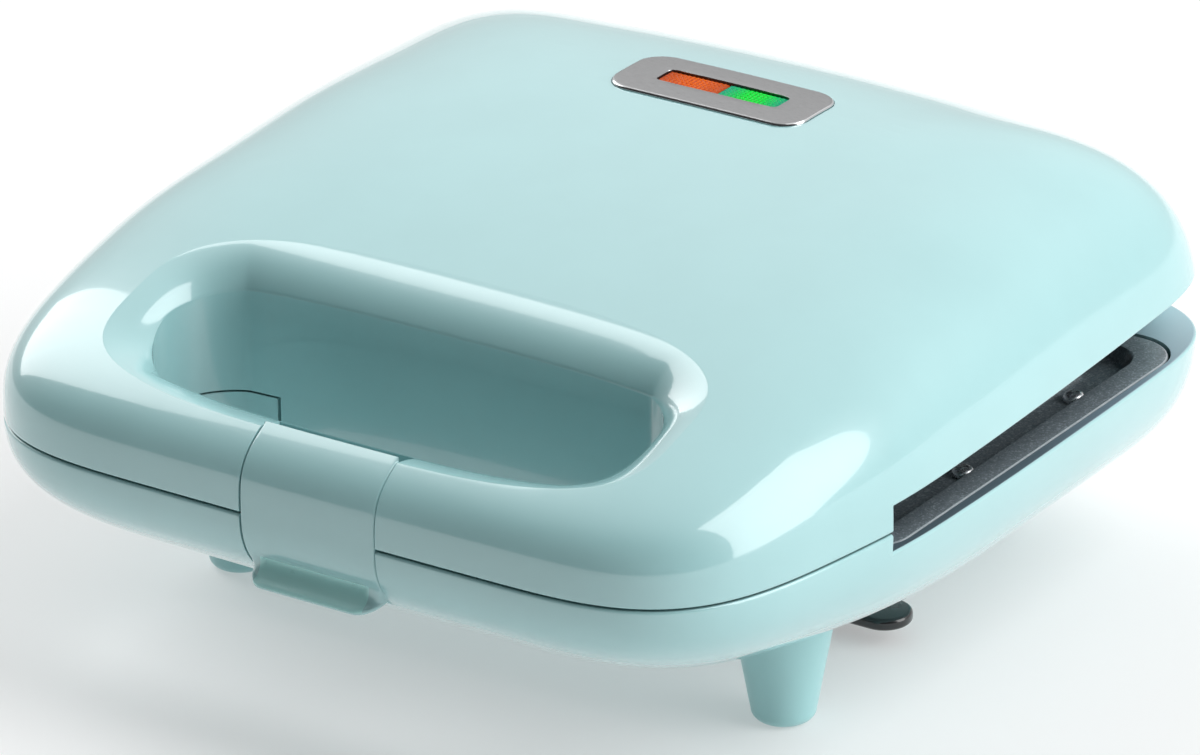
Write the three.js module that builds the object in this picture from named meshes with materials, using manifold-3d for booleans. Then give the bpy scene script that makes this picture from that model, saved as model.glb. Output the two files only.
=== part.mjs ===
// Contact grill with a hinged lid: two glossy moulded half shells, a carrying
// handle formed by a finger hole at the front, a front latch that wraps over
// the handle bar, two ribbed cast plates, and the heating parts between.
// Units are millimetres. X runs left to right, Y front to back, Z up; the
// origin is on the table under the middle of the object. The lid is closed.

import * as THREE from 'three';
import { mergeVertices } from 'three/addons/utils/BufferGeometryUtils.js';
import Module from 'manifold-3d';

const wasm = await Module();
wasm.setup();

// ---------------------------------------------------------------- dimensions

// Plan outline of both shells: radius about (0, CENTRE_Y) as a cosine series of
// the angle measured from the rear (+Y) direction.
const CENTRE_Y = 10.5;
const OUTLINE = [123.7262, -10.2862, 1.6864, -3.8506, -12.2796, 2.1071, -0.501, 2.1529,
  1.9903, -0.7607, 0.0614, -1.0152, -0.3587, 0.273, 0.0853, 0.354, 0.0721, -0.0883,
  -0.091, -0.0841, -0.0207, 0.013, 0.0343, 0.0141, 0.0041];

const PARTING_Z = 58.06;        // level where lid and base meet
const PARTING_GAP = 0.5;        // shadow line between them
const WALL = 2.6;               // moulded wall
const DECK = 2.4;               // inner deck round each plate

// Crown of the lid above the parting level, and roundness of its shoulders
const CROWN = [44.127, 11.437, -10.601, 7.672, 9.404];
const CROWN_SIDE = [-0.473, 0.489];
const CROWN_X = 119.7, CROWN_Y = 115.5;
const LID_N = { side: 5.1146, front: 5.4129, rear: 3.8, frontCorner: 0.2875, rearCorner: -0.6306 };
const LID_M = { side: 2.7083, front: 3.8594, rear: 2.247, frontCorner: 0.423, rearCorner: -0.0486 };

// Belly of the base below the parting level
const BELLY = 36.57;
const BASE_N = { side: 7.2352, front: 2.5, rear: 8.5739, frontCorner: -1.2677, rearCorner: -0.1345 };
const BASE_M = { side: 2.505, front: 2.4582, rear: 3.3736, frontCorner: -0.1659, rearCorner: -0.0921 };

// Side and rear slot between the shells
const SLOT_Y = -45.7;           // the slot starts here and runs to the rear
const BASE_RIM_Z = 53.32;       // base rim in the slot
const LID_RIM_Z = 65.61, LID_RIM_Y = -5.8, LID_RIM_SLOPE = 0.0269;

// Finger hole of the handle
const HOLE_Y = -76.0, HOLE_A = 74.4, HOLE_B = 29.9;   // crest of its rim
const HOLE_N_REAR = 3.1, HOLE_N_FRONT = 3.6;
const WALL_X = 48.15, WALL_Y = -76.15, WALL_R = 17.85;  // upright wall: a long slot with round ends
const LIP_DROP_REAR = 9.2, LIP_DROP_FRONT = 4.9;        // from crest down to the wall
const LIP_FROM = 19, LIP_TO = 72;                       // tilt of the lip at the crest and at the wall, degrees
const SKIRT_X = 46.7, SKIRT_Z = 44;  // deeper rear wall of the hole in the lid

// Latch over the handle bar
const LATCH_HALF = 18.2, LATCH_SIDE_GAP = 0.3;
const LATCH_TOP_Y = -103.4;     // rear end of its top flap
const LATCH_SKIN = 2.6;
const PIVOT_Y = -107.4, PIVOT_Z = 69.4, PIN_R = 1.6;

// Cooking plates
const PLATE_X = 108.4, PLATE_Y0 = -47.4, PLATE_Y1 = 86.4, PLATE_R = 11.2;
const PLATE_FIT = 0.6;          // gap to the shell opening
const FLANGE = 6.9, TROUGH = 10.6;
const LOWER_FLANGE_Z = 53.1, LOWER_TROUGH_Z = 48.8, LOWER_TOP_Z = 53.4;
const UPPER_BOTTOM_Z = 64.2;
const RIB_H = 1.8, RIB_PITCH = 11.2, RIB_COUNT = 15;
const SCREW_X = 96.8, SCREW_Y = [6.0, 55.0];

// Feet and cord cleats under the base
const FOOT_X = [75.7, 58.0], FOOT_Y = [-36.8, 78.0];
const FOOT_R = 7.1, FOOT_TAPER = 0.182;
const CLEAT_X = 73.7, CLEAT_Y = 10.3, CLEAT_R = 7.1, CLEAT_Z = [4.6, 7.6];

// Rear hinge
const HINGE_Y = 109.5, HINGE_Z = 62.0, BARREL_R = 6.0, HINGE_PIN_R = 2.0;
const KNUCKLE = [36.0, 48.0];   // lid knuckle, from the middle plane
const BARREL_END = 88.0;

// Indicator plate on the lid
const LABEL_X = 26.6, LABEL_Y0 = 44.2, LABEL_Y1 = 66.8, LABEL_R = 6.5;
const LABEL_PROUD = 0.75, LABEL_DEEP = 0.9;
const WINDOW_X = 16.8, WINDOW_Y0 = 51.9, WINDOW_Y1 = 59.3;

// ---------------------------------------------------------------- surfaces

const clamp = (v, a, b) => Math.min(b, Math.max(a, v));

function radius(t) {            // t: angle from +X, anticlockwise
  const p = t - Math.PI / 2;
  let r = 0;
  for (let k = 0; k < OUTLINE.length; k++) r += OUTLINE[k] * Math.cos(k * p);
  return r;
}

function blend(x, y, set) {
  const u = x / CROWN_X, v = (y - CENTRE_Y) / CROWN_Y;
  const c = (u * u) / (u * u + v * v + 1e-9), h = 0.5 * (1 + Math.tanh(6 * v));
  return c * set.side + (1 - c) * ((1 - h) * set.front + h * set.rear)
    + 4 * c * (1 - c) * ((1 - h) * set.frontCorner + h * set.rearCorner);
}

function gauge(x, y, inset = 0) {
  const d = y - CENTRE_Y;
  return Math.hypot(x, d) / (radius(Math.atan2(d, Math.abs(x))) - inset);
}

function crown(x, y) {
  const u = x / CROWN_X, v = (y - CENTRE_Y) / CROWN_Y;
  const h = CROWN.reduce((s, c, i) => s + c * v ** i, 0);
  return h - (CROWN_SIDE[0] + CROWN_SIDE[1] * v) * u * u;
}

function lidZ(x, y, inset = 0) {
  const s = Math.min(gauge(x, y, inset), 1);
  return PARTING_Z + (crown(x, y) - inset)
    * Math.max(1 - s ** blend(x, y, LID_N), 0) ** (1 / blend(x, y, LID_M));
}

function baseZ(x, y, inset = 0) {
  const s = Math.min(gauge(x, y, inset), 1);
  return PARTING_Z - (BELLY - inset)
    * Math.max(1 - s ** blend(x, y, BASE_N), 0) ** (1 / blend(x, y, BASE_M));
}

const lidRim = (y) => LID_RIM_Z + LID_RIM_SLOPE * (y - LID_RIM_Y);

// Crest of the finger hole
function crestCurve(count) {
  const raw = [];
  for (let i = 0; i < count; i++) {
    const t = (i / count) * 2 * Math.PI;
    const c = Math.cos(t), s = Math.sin(t);
    const n = s >= 0 ? HOLE_N_REAR : HOLE_N_FRONT;
    raw.push([HOLE_A * Math.sign(c) * Math.abs(c) ** (2 / n),
      HOLE_Y + HOLE_B * Math.sign(s) * Math.abs(s) ** (2 / n)]);
  }
  return resample(raw, count);
}

// Upright wall below each point of the crest, moved outwards by grow
function wallCurve(crest, grow) {
  return crest.map(([x, y]) => {
    const cx = clamp(x * 0.82, -WALL_X, WALL_X), dx = x - cx, dy = y - WALL_Y, l = Math.hypot(dx, dy);
    const k = (WALL_R + grow) / l;
    return [cx + dx * k, WALL_Y + dy * k];
  });
}

function resample(loop, count) {
  const fine = [];
  for (let i = 0; i < loop.length; i++) fine.push(loop[i]);
  const len = [0];
  for (let i = 0; i < fine.length; i++) {
    const a = fine[i], b = fine[(i + 1) % fine.length];
    len.push(len[i] + Math.hypot(b[0] - a[0], b[1] - a[1]));
  }
  const total = len[fine.length];
  const out = [];
  let k = 0;
  for (let i = 0; i < count; i++) {
    const want = (i / count) * total;
    while (len[k + 1] < want) k++;
    const f = (want - len[k]) / (len[k + 1] - len[k] || 1);
    const a = fine[k], b = fine[(k + 1) % fine.length];
    out.push([a[0] + (b[0] - a[0]) * f, a[1] + (b[1] - a[1]) * f]);
  }
  return out;
}

const lipDrop = (y) => {
  const f = clamp((y - (HOLE_Y - HOLE_B)) / (2 * HOLE_B), 0, 1);
  const g = clamp((f - 0.45) / 0.55, 0, 1);
  return LIP_DROP_FRONT + (LIP_DROP_REAR - LIP_DROP_FRONT) * g * g * (3 - 2 * g);
};

// ---------------------------------------------------------------- solids

function solid(geometry) {
  const g0 = geometry.index ? geometry : geometry.clone();
  const g = g0.clone();
  g.deleteAttribute('normal');
  g.deleteAttribute('uv');
  const m = mergeVertices(g, 1e-4);
  return new wasm.Manifold(new wasm.Mesh({
    numProp: 3,
    vertProperties: new Float32Array(m.attributes.position.array),
    triVerts: new Uint32Array(m.index.array),
  }));
}

function geometryOf(m) {
  const mesh = m.getMesh();
  const n = mesh.numProp, pos = new Float32Array((mesh.vertProperties.length / n) * 3);
  for (let i = 0, j = 0; i < mesh.vertProperties.length; i += n, j += 3) {
    pos[j] = mesh.vertProperties[i];
    pos[j + 1] = mesh.vertProperties[i + 1];
    pos[j + 2] = mesh.vertProperties[i + 2];
  }
  const g = new THREE.BufferGeometry();
  g.setAttribute('position', new THREE.BufferAttribute(pos, 3));
  g.setIndex(new THREE.BufferAttribute(new Uint32Array(mesh.triVerts), 1));
  g.computeVertexNormals();
  return g;
}

const all = (list) => list.reduce((a, b) => a.add(b));
const cut = (a, ...rest) => rest.reduce((s, b) => s.subtract(b), a);

function box(x0, x1, y0, y1, z0, z1) {
  const g = new THREE.BoxGeometry(x1 - x0, y1 - y0, z1 - z0);
  g.translate((x0 + x1) / 2, (y0 + y1) / 2, (z0 + z1) / 2);
  return solid(g);
}

function shape(points) {
  const s = new THREE.Shape();
  points.forEach(([x, y], i) => (i ? s.lineTo(x, y) : s.moveTo(x, y)));
  s.closePath();
  return s;
}

function prism(points, z0, z1) {       // along Z
  const g = new THREE.ExtrudeGeometry(shape(points), { depth: z1 - z0, bevelEnabled: false, steps: 1 });
  g.translate(0, 0, z0);
  return solid(g);
}

function prismX(points, x0, x1) {      // points are (y, z), along X
  const g = new THREE.ExtrudeGeometry(shape(points), { depth: x1 - x0, bevelEnabled: false, steps: 1 });
  g.applyMatrix4(new THREE.Matrix4().set(0, 0, 1, x0, 1, 0, 0, 0, 0, 1, 0, 0, 0, 0, 0, 1));
  return solid(g);
}

function rod(r, from, to, sides = 20) {
  const a = new THREE.Vector3(...from), b = new THREE.Vector3(...to);
  const g = new THREE.CylinderGeometry(r, r, a.distanceTo(b), sides);
  g.applyQuaternion(new THREE.Quaternion().setFromUnitVectors(
    new THREE.Vector3(0, 1, 0), b.clone().sub(a).normalize()));
  g.translate((a.x + b.x) / 2, (a.y + b.y) / 2, (a.z + b.z) / 2);
  return solid(g);
}

function turned(profile, x, y, sides = 24) {   // profile: (radius, z), axis Z
  const g = new THREE.LatheGeometry(profile.map(([r, z]) => new THREE.Vector2(r, z)), sides);
  g.rotateX(Math.PI / 2);
  g.translate(x, y, 0);
  return solid(g);
}

function rounded(x0, x1, y0, y1, r, n = 5) {
  const pts = [];
  const c = [[x1 - r, y0 + r, -90], [x1 - r, y1 - r, 0], [x0 + r, y1 - r, 90], [x0 + r, y0 + r, 180]];
  for (const [cx, cy, a0] of c) {
    for (let i = 0; i <= n; i++) {
      const a = ((a0 + (90 * i) / n) * Math.PI) / 180;
      pts.push([cx + r * Math.cos(a), cy + r * Math.sin(a)]);
    }
  }
  return pts;
}

// Closed body from equal rings of points, with a flat fan at both ends
function loft(rings) {
  const n = rings[0].length, pos = [], idx = [];
  for (const ring of rings) for (const p of ring) pos.push(...p);
  for (let k = 0; k + 1 < rings.length; k++) {
    for (let i = 0; i < n; i++) {
      const a = k * n + i, b = k * n + ((i + 1) % n), c = a + n, d = b + n;
      idx.push(a, b, d, a, d, c);
    }
  }
  const centre = (ring) => ring.reduce((s, p) => [s[0] + p[0] / n, s[1] + p[1] / n, s[2] + p[2] / n], [0, 0, 0]);
  const lo = pos.length / 3;
  pos.push(...centre(rings[0]));
  const hi = pos.length / 3;
  pos.push(...centre(rings[rings.length - 1]));
  const last = (rings.length - 1) * n;
  for (let i = 0; i < n; i++) {
    idx.push(lo, (i + 1) % n, i);
    idx.push(hi, last + i, last + ((i + 1) % n));
  }
  const g = new THREE.BufferGeometry();
  g.setAttribute('position', new THREE.Float32BufferAttribute(pos, 3));
  g.setIndex(idx);
  return solid(g);
}

// Domed solid over the plan outline; up: +1 lid, -1 base belly
function dome(surface, inset, sides, levels, up) {
  const rings = [];
  const row = (s, z) => {
    const ring = [];
    for (let i = 0; i < sides; i++) {
      const t = (i / sides) * 2 * Math.PI;
      const r = (radius(Math.atan2(Math.sin(t), Math.abs(Math.cos(t)))) - inset) * s;
      const x = r * Math.cos(t), y = CENTRE_Y + r * Math.sin(t);
      ring.push([x, y, z === undefined ? surface(x, y, inset) : z]);
    }
    return ring;
  };
  for (const s of levels) rings.push(row(s, s === 1 ? PARTING_Z : undefined));
  if (up < 0) rings.reverse();
  return loft(rings);
}

// Thin body between two height fields over a plan loop
function slab(loop, low, high, rows = 3) {
  const c = loop.reduce((s, p) => [s[0] + p[0] / loop.length, s[1] + p[1] / loop.length], [0, 0]);
  const ring = (f, h) => loop.map(([x, y]) => {
    const px = c[0] + (x - c[0]) * f, py = c[1] + (y - c[1]) * f;
    return [px, py, h(px, py)];
  });
  const rings = [];
  for (let i = 1; i <= rows; i++) rings.push(ring(i / rows, low));
  for (let i = rows; i >= 1; i--) rings.push(ring(i / rows, high));
  return loft(rings);
}

// ---------------------------------------------------------------- materials

const mint = new THREE.MeshStandardMaterial({ color: 0xaedcdc, roughness: 0.12, metalness: 0 });
const mintSatin = new THREE.MeshStandardMaterial({ color: 0x9fd0ce, roughness: 0.3, metalness: 0 });
const coated = new THREE.MeshStandardMaterial({ color: 0x32393c, roughness: 0.45, metalness: 0.2 });
const steel = new THREE.MeshStandardMaterial({ color: 0xb4b6b8, roughness: 0.35, metalness: 1 });
const sheet = new THREE.MeshStandardMaterial({ color: 0xc6c8c9, roughness: 0.3, metalness: 1 });
const black = new THREE.MeshStandardMaterial({ color: 0x111314, roughness: 0.3, metalness: 0 });
const heater = new THREE.MeshStandardMaterial({ color: 0x6d6257, roughness: 0.55, metalness: 0.8 });
const ceramic = new THREE.MeshStandardMaterial({ color: 0xe8e4da, roughness: 0.6, metalness: 0 });
const amber = new THREE.MeshStandardMaterial({ color: 0xd8552a, roughness: 0.25, metalness: 0 });
const green = new THREE.MeshStandardMaterial({ color: 0x23d45a, roughness: 0.25, metalness: 0 });
const clear = new THREE.MeshStandardMaterial({ color: 0xf0e9dc, roughness: 0.1, metalness: 0 });
const brass = new THREE.MeshStandardMaterial({ color: 0xc9a24a, roughness: 0.35, metalness: 1 });

const grill = new THREE.Group();
function add(name, body, material) {
  const mesh = new THREE.Mesh(geometryOf(body), material);
  mesh.name = name;
  grill.add(mesh);
}

// ---------------------------------------------------------------- lid shell

const OUTER_LEVELS = [1, 0.998, 0.988, 0.966, 0.93, 0.87, 0.77, 0.6, 0.36];
const INNER_LEVELS = [1, 0.99, 0.95, 0.84, 0.56];
const FAR = 160;

const lidOuter = dome(lidZ, 0, 64, OUTER_LEVELS, 1);
const lidInner = dome(lidZ, WALL, 40, INNER_LEVELS, 1);
const lidLow = PARTING_Z + PARTING_GAP / 2;

// everything below the lid's lower faces
const belowLid = prismX([[-FAR, 0], [FAR, 0], [FAR, lidRim(FAR)], [SLOT_Y, lidRim(SLOT_Y)],
  [SLOT_Y, lidLow], [-FAR, lidLow]], -FAR, FAR);
const belowLidDeck = prismX([[-FAR, 0], [FAR, 0], [FAR, lidRim(FAR) + DECK],
  [SLOT_Y - DECK, lidRim(SLOT_Y - DECK) + DECK], [SLOT_Y - DECK, lidLow + DECK], [-FAR, lidLow + DECK]], -FAR, FAR);

// finger hole: wall prism and the rounded lip above it
const HOLE_SIDES = 44;
const crestLoop = crestCurve(HOLE_SIDES);
const wallLoop = wallCurve(crestLoop, 0);
function lipSolid(grow, steps) {
  const rings = [];
  const at = (e, fz) => crestLoop.map((p, i) => {
    const q = wallLoop[i], f = e;
    const nx = p[0] - q[0], ny = p[1] - q[1], l = Math.hypot(nx, ny);
    const x = q[0] + nx * f + (nx / l) * grow, y = q[1] + ny * f + (ny / l) * grow;
    return [x, y, fz(p)];
  });
  const a0 = (LIP_FROM * Math.PI) / 180, a1 = (LIP_TO * Math.PI) / 180;
  for (let k = 0; k <= steps; k++) {
    const a = a1 + ((a0 - a1) * k) / steps;
    const run = (Math.sin(a1) - Math.sin(a)) / (Math.sin(a1) - Math.sin(a0));
    const rise = (Math.cos(a) - Math.cos(a1)) / (Math.cos(a0) - Math.cos(a1));
    rings.push(at(run, (p) => lidZ(p[0], p[1]) - lipDrop(p[1]) * (1 - rise) - grow));
  }
  rings.push(at(1, () => 125));
  return loft(rings);
}
const wallOuterLoop = wallCurve(crestLoop, WALL);
const holeCut = prism(wallLoop, -10, 120).add(lipSolid(0, 3));
const holeTube = prism(wallOuterLoop, -10, 120).add(lipSolid(WALL, 2));

const skirtRear = Math.max(...wallOuterLoop.map((p) => p[1]));
const ring = prism(wallOuterLoop, SKIRT_Z, lidLow + 1).subtract(prism(wallLoop, SKIRT_Z - 1, lidLow + 2));
const skirt = ring.intersect(box(-SKIRT_X, SKIRT_X, HOLE_Y + 8, skirtRear + 1, SKIRT_Z, lidLow + 1));

const plateLoop = (gap, n = 4) => rounded(-PLATE_X - gap, PLATE_X + gap, PLATE_Y0 - gap, PLATE_Y1 + gap, PLATE_R + gap, n);

const lidPlateOpening = prism(plateLoop(PLATE_FIT), 50, 90).intersect(belowLidDeck.translate([0, 0, 0.2]));

const latchSlot = (g) => LATCH_HALF + g;
const latchCutLid = prismX([[-130, 40], [-104.6, 40], [-104.6, 62], [-98.6, 64.5], [-98.6, 90], [-130, 90]],
  -latchSlot(LATCH_SIDE_GAP), latchSlot(LATCH_SIDE_GAP));

const labelLoop = (g) => rounded(-LABEL_X - g, LABEL_X + g, LABEL_Y0 - g, LABEL_Y1 + g, LABEL_R + g, 4);
const labelPocket = slab(labelLoop(0.3), (x, y) => lidZ(x, y) - LABEL_DEEP - 0.3, (x, y) => lidZ(x, y) + 6, 3);
const windowHole = prism(rounded(-WINDOW_X - 1.2, WINDOW_X + 1.2, WINDOW_Y0 - 1.2, WINDOW_Y1 + 1.2, 2, 3), 80, 115);

// posts that take the upper plate screws, and ears that carry the latch pin
const postZ = (y) => lidRim(y) + 7.8;
const lidPosts = all([-1, 1].flatMap((s) => SCREW_Y.map((y) =>
  rod(3.4, [s * SCREW_X, y, postZ(y)], [s * SCREW_X, y, 112], 12)))).intersect(lidOuter);
const lidPostHoles = all([-1, 1].flatMap((s) => SCREW_Y.map((y) =>
  rod(1.75, [s * SCREW_X, y, 60], [s * SCREW_X, y, postZ(y) + 7], 10))));
const ears = all([-1, 1].map((s) => box(Math.min(s * 17, s * 21.9), Math.max(s * 17, s * 21.9), -113.5, -100, lidLow, 80)))
  .add(prismX([[-104.6, lidLow], [-102.2, lidLow], [-102.2, 60.4], [-98, 62.4], [-98, 67], [-104.6, 67]], -21.9, 21.9))
  .intersect(lidOuter).subtract(holeTube);

// rear knuckles of the lid, joined to its deck
const knuckle = (s, r, x0, x1) => rod(r, [s * x0, HINGE_Y, HINGE_Z], [s * x1, HINGE_Y, HINGE_Z], 20);
const lidKnuckles = all([-1, 1].map((s) => {
  const a = Math.min(s * KNUCKLE[0], s * KNUCKLE[1]), b = Math.max(s * KNUCKLE[0], s * KNUCKLE[1]);
  return knuckle(s, BARREL_R, KNUCKLE[0], KNUCKLE[1]).add(
    prismX([[HINGE_Y - 6.0, HINGE_Z + 0.5], [HINGE_Y + 1.5, HINGE_Z + 5.4], [HINGE_Y + 1.5, lidRim(HINGE_Y) + 1.8],
      [HINGE_Y - 9.5, lidRim(HINGE_Y) + 1.8], [HINGE_Y - 8.5, lidRim(HINGE_Y) - 1]], a, b));
}));
const pinBore = all([-1, 1].map((s) => rod(HINGE_PIN_R + 0.3, [s * 26.5, HINGE_Y, HINGE_Z], [s * 57.5, HINGE_Y, HINGE_Z], 12)));

let lidShell = cut(lidOuter, cut(lidInner, belowLidDeck, holeTube));
lidShell = lidShell.add(lidPosts).add(ears).subtract(belowLid).subtract(holeCut);
lidShell = lidShell.add(skirt);
lidShell = lidShell.add(lidKnuckles);
lidShell = cut(lidShell, lidPlateOpening, latchCutLid, labelPocket, windowHole, lidPostHoles, pinBore,
  rod(PIN_R + 0.3, [-21.3, PIVOT_Y, PIVOT_Z], [21.3, PIVOT_Y, PIVOT_Z], 16));
add('lid_shell', lidShell, mint);

// ---------------------------------------------------------------- base shell

const baseOuter = dome(baseZ, 0, 64, [1, 0.996, 0.98, 0.945, 0.89, 0.8, 0.64, 0.4], -1);
const baseInner = dome(baseZ, WALL, 40, [1, 0.985, 0.93, 0.81, 0.55], -1);
const baseHigh = PARTING_Z - PARTING_GAP / 2;
const aboveBase = prismX([[-FAR, 150], [-FAR, baseHigh], [SLOT_Y, baseHigh], [SLOT_Y, BASE_RIM_Z],
  [FAR, BASE_RIM_Z], [FAR, 150]], -FAR, FAR);
const aboveBaseDeck = prismX([[-FAR, 150], [-FAR, baseHigh - DECK], [SLOT_Y - DECK, baseHigh - DECK],
  [SLOT_Y - DECK, BASE_RIM_Z - DECK], [FAR, BASE_RIM_Z - DECK], [FAR, 150]], -FAR, FAR);
const skirtRoom = (g) => box(-SKIRT_X - 0.9 - g, SKIRT_X + 0.9 + g, HOLE_Y + 7, skirtRear + 1.2 + g, 43.4 - g, 80)
  .intersect(prism(wallCurve(crestLoop, WALL + 1.2 + g), -10, 120));
const basePlateOpening = prism(plateLoop(PLATE_FIT), LOWER_FLANGE_Z - 2.9, 70);

const basePosts = all([-1, 1].flatMap((s) => SCREW_Y.map((y) =>
  rod(3.4, [s * SCREW_X, y, 20], [s * SCREW_X, y, 45.3], 12)))).intersect(baseOuter);
const basePostHoles = all([-1, 1].flatMap((s) => SCREW_Y.map((y) =>
  rod(1.75, [s * SCREW_X, y, 37], [s * SCREW_X, y, 60], 10))));

const barrelSection = (x0, x1) => rod(BARREL_R, [x0, HINGE_Y, HINGE_Z], [x1, HINGE_Y, HINGE_Z], 20).add(
  prismX([[HINGE_Y - 5.9, HINGE_Z], [HINGE_Y - 8.6, BASE_RIM_Z - 1], [HINGE_Y + 1.0, BASE_RIM_Z - 6], [HINGE_Y + 5.4, HINGE_Z - 2.4]].reverse(), x0, x1));
const barrels = all([barrelSection(-BARREL_END, -KNUCKLE[1] - 1.2), barrelSection(-KNUCKLE[0] + 1.2, KNUCKLE[0] - 1.2),
  barrelSection(KNUCKLE[1] + 1.2, BARREL_END)]);

// recess behind the latch, with the ledge that its hook catches
const latchCutBase = box(-latchSlot(LATCH_SIDE_GAP), latchSlot(LATCH_SIDE_GAP), -130, -108.4, 33, 70);
const latchBack = box(-latchSlot(2.6), latchSlot(2.6), -108.4, -105.8, 30, baseHigh).intersect(baseOuter);
const latchBackSides = all([-1, 1].map((s) => box(Math.min(s * latchSlot(0.3), s * latchSlot(2.6)),
  Math.max(s * latchSlot(0.3), s * latchSlot(2.6)), -114, -105.8, 30, baseHigh))).intersect(baseOuter);
const catchLedge = box(-8, 8, -110.9, -108, 47.6, 50.6);

const footHoles = all([-1, 1].flatMap((s) => FOOT_Y.map((y, i) => rod(4.3, [s * FOOT_X[i], y, 10], [s * FOOT_X[i], y, 40], 12))));
const cleatHoles = all([-1, 1].map((s) => rod(2.8, [s * 56, CLEAT_Y, 10], [s * 56, CLEAT_Y, 40], 16)));
const glandHole = rod(6.3, [0, 90, 40], [0, 130, 40], 24);

let baseShell = cut(baseOuter, cut(baseInner, aboveBaseDeck, prism(wallOuterLoop, -10, 120), skirtRoom(2.4)));
baseShell = baseShell.add(basePosts).add(latchBack).add(latchBackSides);
baseShell = cut(baseShell, aboveBase, prism(wallLoop, -10, 120), skirtRoom(0), basePlateOpening, latchCutBase);
baseShell = baseShell.add(barrels).add(catchLedge);
baseShell = cut(baseShell, pinBore, basePostHoles, footHoles, cleatHoles, glandHole);
add('base_shell', baseShell, mint);

// ---------------------------------------------------------------- cooking plates

function ribs(z0, z1, y0, y1, down) {
  const out = [];
  for (let i = 0; i < RIB_COUNT; i++) {
    const x = (i - (RIB_COUNT - 1) / 2) * RIB_PITCH;
    const a = 2.6, b = 1.3;
    const pts = down ? [[x - b, z0], [x + b, z0], [x + a, z1], [x - a, z1]] : [[x - a, z0], [x + a, z0], [x + b, z1], [x - b, z1]];
    const g = new THREE.ExtrudeGeometry(shape(pts), { depth: y1 - y0, bevelEnabled: false });
    g.rotateX(Math.PI / 2);
    g.translate(0, y1, 0);
    out.push(solid(g));
  }
  return all(out);
}
const inner = (d, n = 3) => rounded(-PLATE_X + d, PLATE_X - d, PLATE_Y0 + d, PLATE_Y1 - d, Math.max(PLATE_R - d * 0.35, 5), n);

let lowerPlate = all([
  prism(plateLoop(0), LOWER_FLANGE_Z - 2.6, LOWER_FLANGE_Z),
  prism(inner(3.4), 45.6, LOWER_FLANGE_Z - 0.5),
]);
lowerPlate = cut(lowerPlate, prism(inner(FLANGE), LOWER_TROUGH_Z, 70));
lowerPlate = all([lowerPlate, prism(inner(FLANGE + TROUGH), 45.6, LOWER_TOP_Z),
  ribs(LOWER_TOP_Z - 0.5, LOWER_TOP_Z + RIB_H, PLATE_Y0 + FLANGE + TROUGH + 5, PLATE_Y1 - FLANGE - TROUGH - 5, false)]);
lowerPlate = cut(lowerPlate, prism(inner(FLANGE + TROUGH + 3.2), 40, LOWER_TOP_Z - 3.2),
  all([-1, 1].flatMap((s) => SCREW_Y.map((y) => rod(1.9, [s * SCREW_X, y, 40], [s * SCREW_X, y, 60], 10)))));
add('lower_cooking_plate', lowerPlate, coated);

// the upper plate's flange follows the sloping lid rim
const slopeBand = (lo, hi) => prismX([[-FAR, lidRim(-FAR) + lo], [FAR, lidRim(FAR) + lo], [FAR, lidRim(FAR) + hi], [-FAR, lidRim(-FAR) + hi]], -FAR, FAR);
let upperPlate = all([
  prism(plateLoop(0), 50, 90).intersect(slopeBand(-0.3, 2.3)),
  prism(inner(4.6), 50, 90).intersect(slopeBand(2, 7.4)),
]);
upperPlate = cut(upperPlate, prism(inner(FLANGE), 40, 90).intersect(slopeBand(-20, 4.2)));
upperPlate = all([upperPlate,
  prism(inner(FLANGE + TROUGH), UPPER_BOTTOM_Z, 90).intersect(slopeBand(-20, 7.4)),
  ribs(UPPER_BOTTOM_Z - RIB_H, UPPER_BOTTOM_Z + 0.5, PLATE_Y0 + FLANGE + TROUGH + 5, PLATE_Y1 - FLANGE - TROUGH - 5, true)]);
upperPlate = cut(upperPlate, prism(inner(FLANGE + TROUGH + 3.2), UPPER_BOTTOM_Z + 3.2, 100),
  all([-1, 1].flatMap((s) => SCREW_Y.map((y) => rod(1.9, [s * SCREW_X, y, 50], [s * SCREW_X, y, 90], 10)))));
add('upper_cooking_plate', upperPlate, coated);

// cross-recessed pan-head screws
function screw(x, y, z, dir, length) {
  const prof = [[0, -length], [1.15, -length], [1.4, -length + 1], [1.4, 0], [2.6, 0], [2.6, 0.9], [2.0, 1.8], [0, 2.2]]
    .map(([r, h]) => [r, h * dir]);
  let s = turned(dir > 0 ? prof : prof.reverse(), 0, 0, 10);
  const cross = box(-1.5, 1.5, -0.35, 0.35, -0.9, 0.9).add(box(-0.35, 0.35, -1.5, 1.5, -0.9, 0.9)).translate([0, 0, dir * 2.1]);
  return s.subtract(cross).translate([x, y, z]);
}
for (const s of [-1, 1]) {
  for (let i = 0; i < 2; i++) {
    const side = s < 0 ? 'left' : 'right', end = i ? 'rear' : 'front';
    add(`lower_plate_screw_${side}_${end}`, screw(s * SCREW_X, SCREW_Y[i], LOWER_TROUGH_Z + 0.2, 1, 10), steel);
    add(`upper_plate_screw_${side}_${end}`, screw(s * SCREW_X, SCREW_Y[i], lidRim(SCREW_Y[i]) + 4.12 - 0.2, -1, 10), steel);
  }
}

// ---------------------------------------------------------------- heaters

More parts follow.
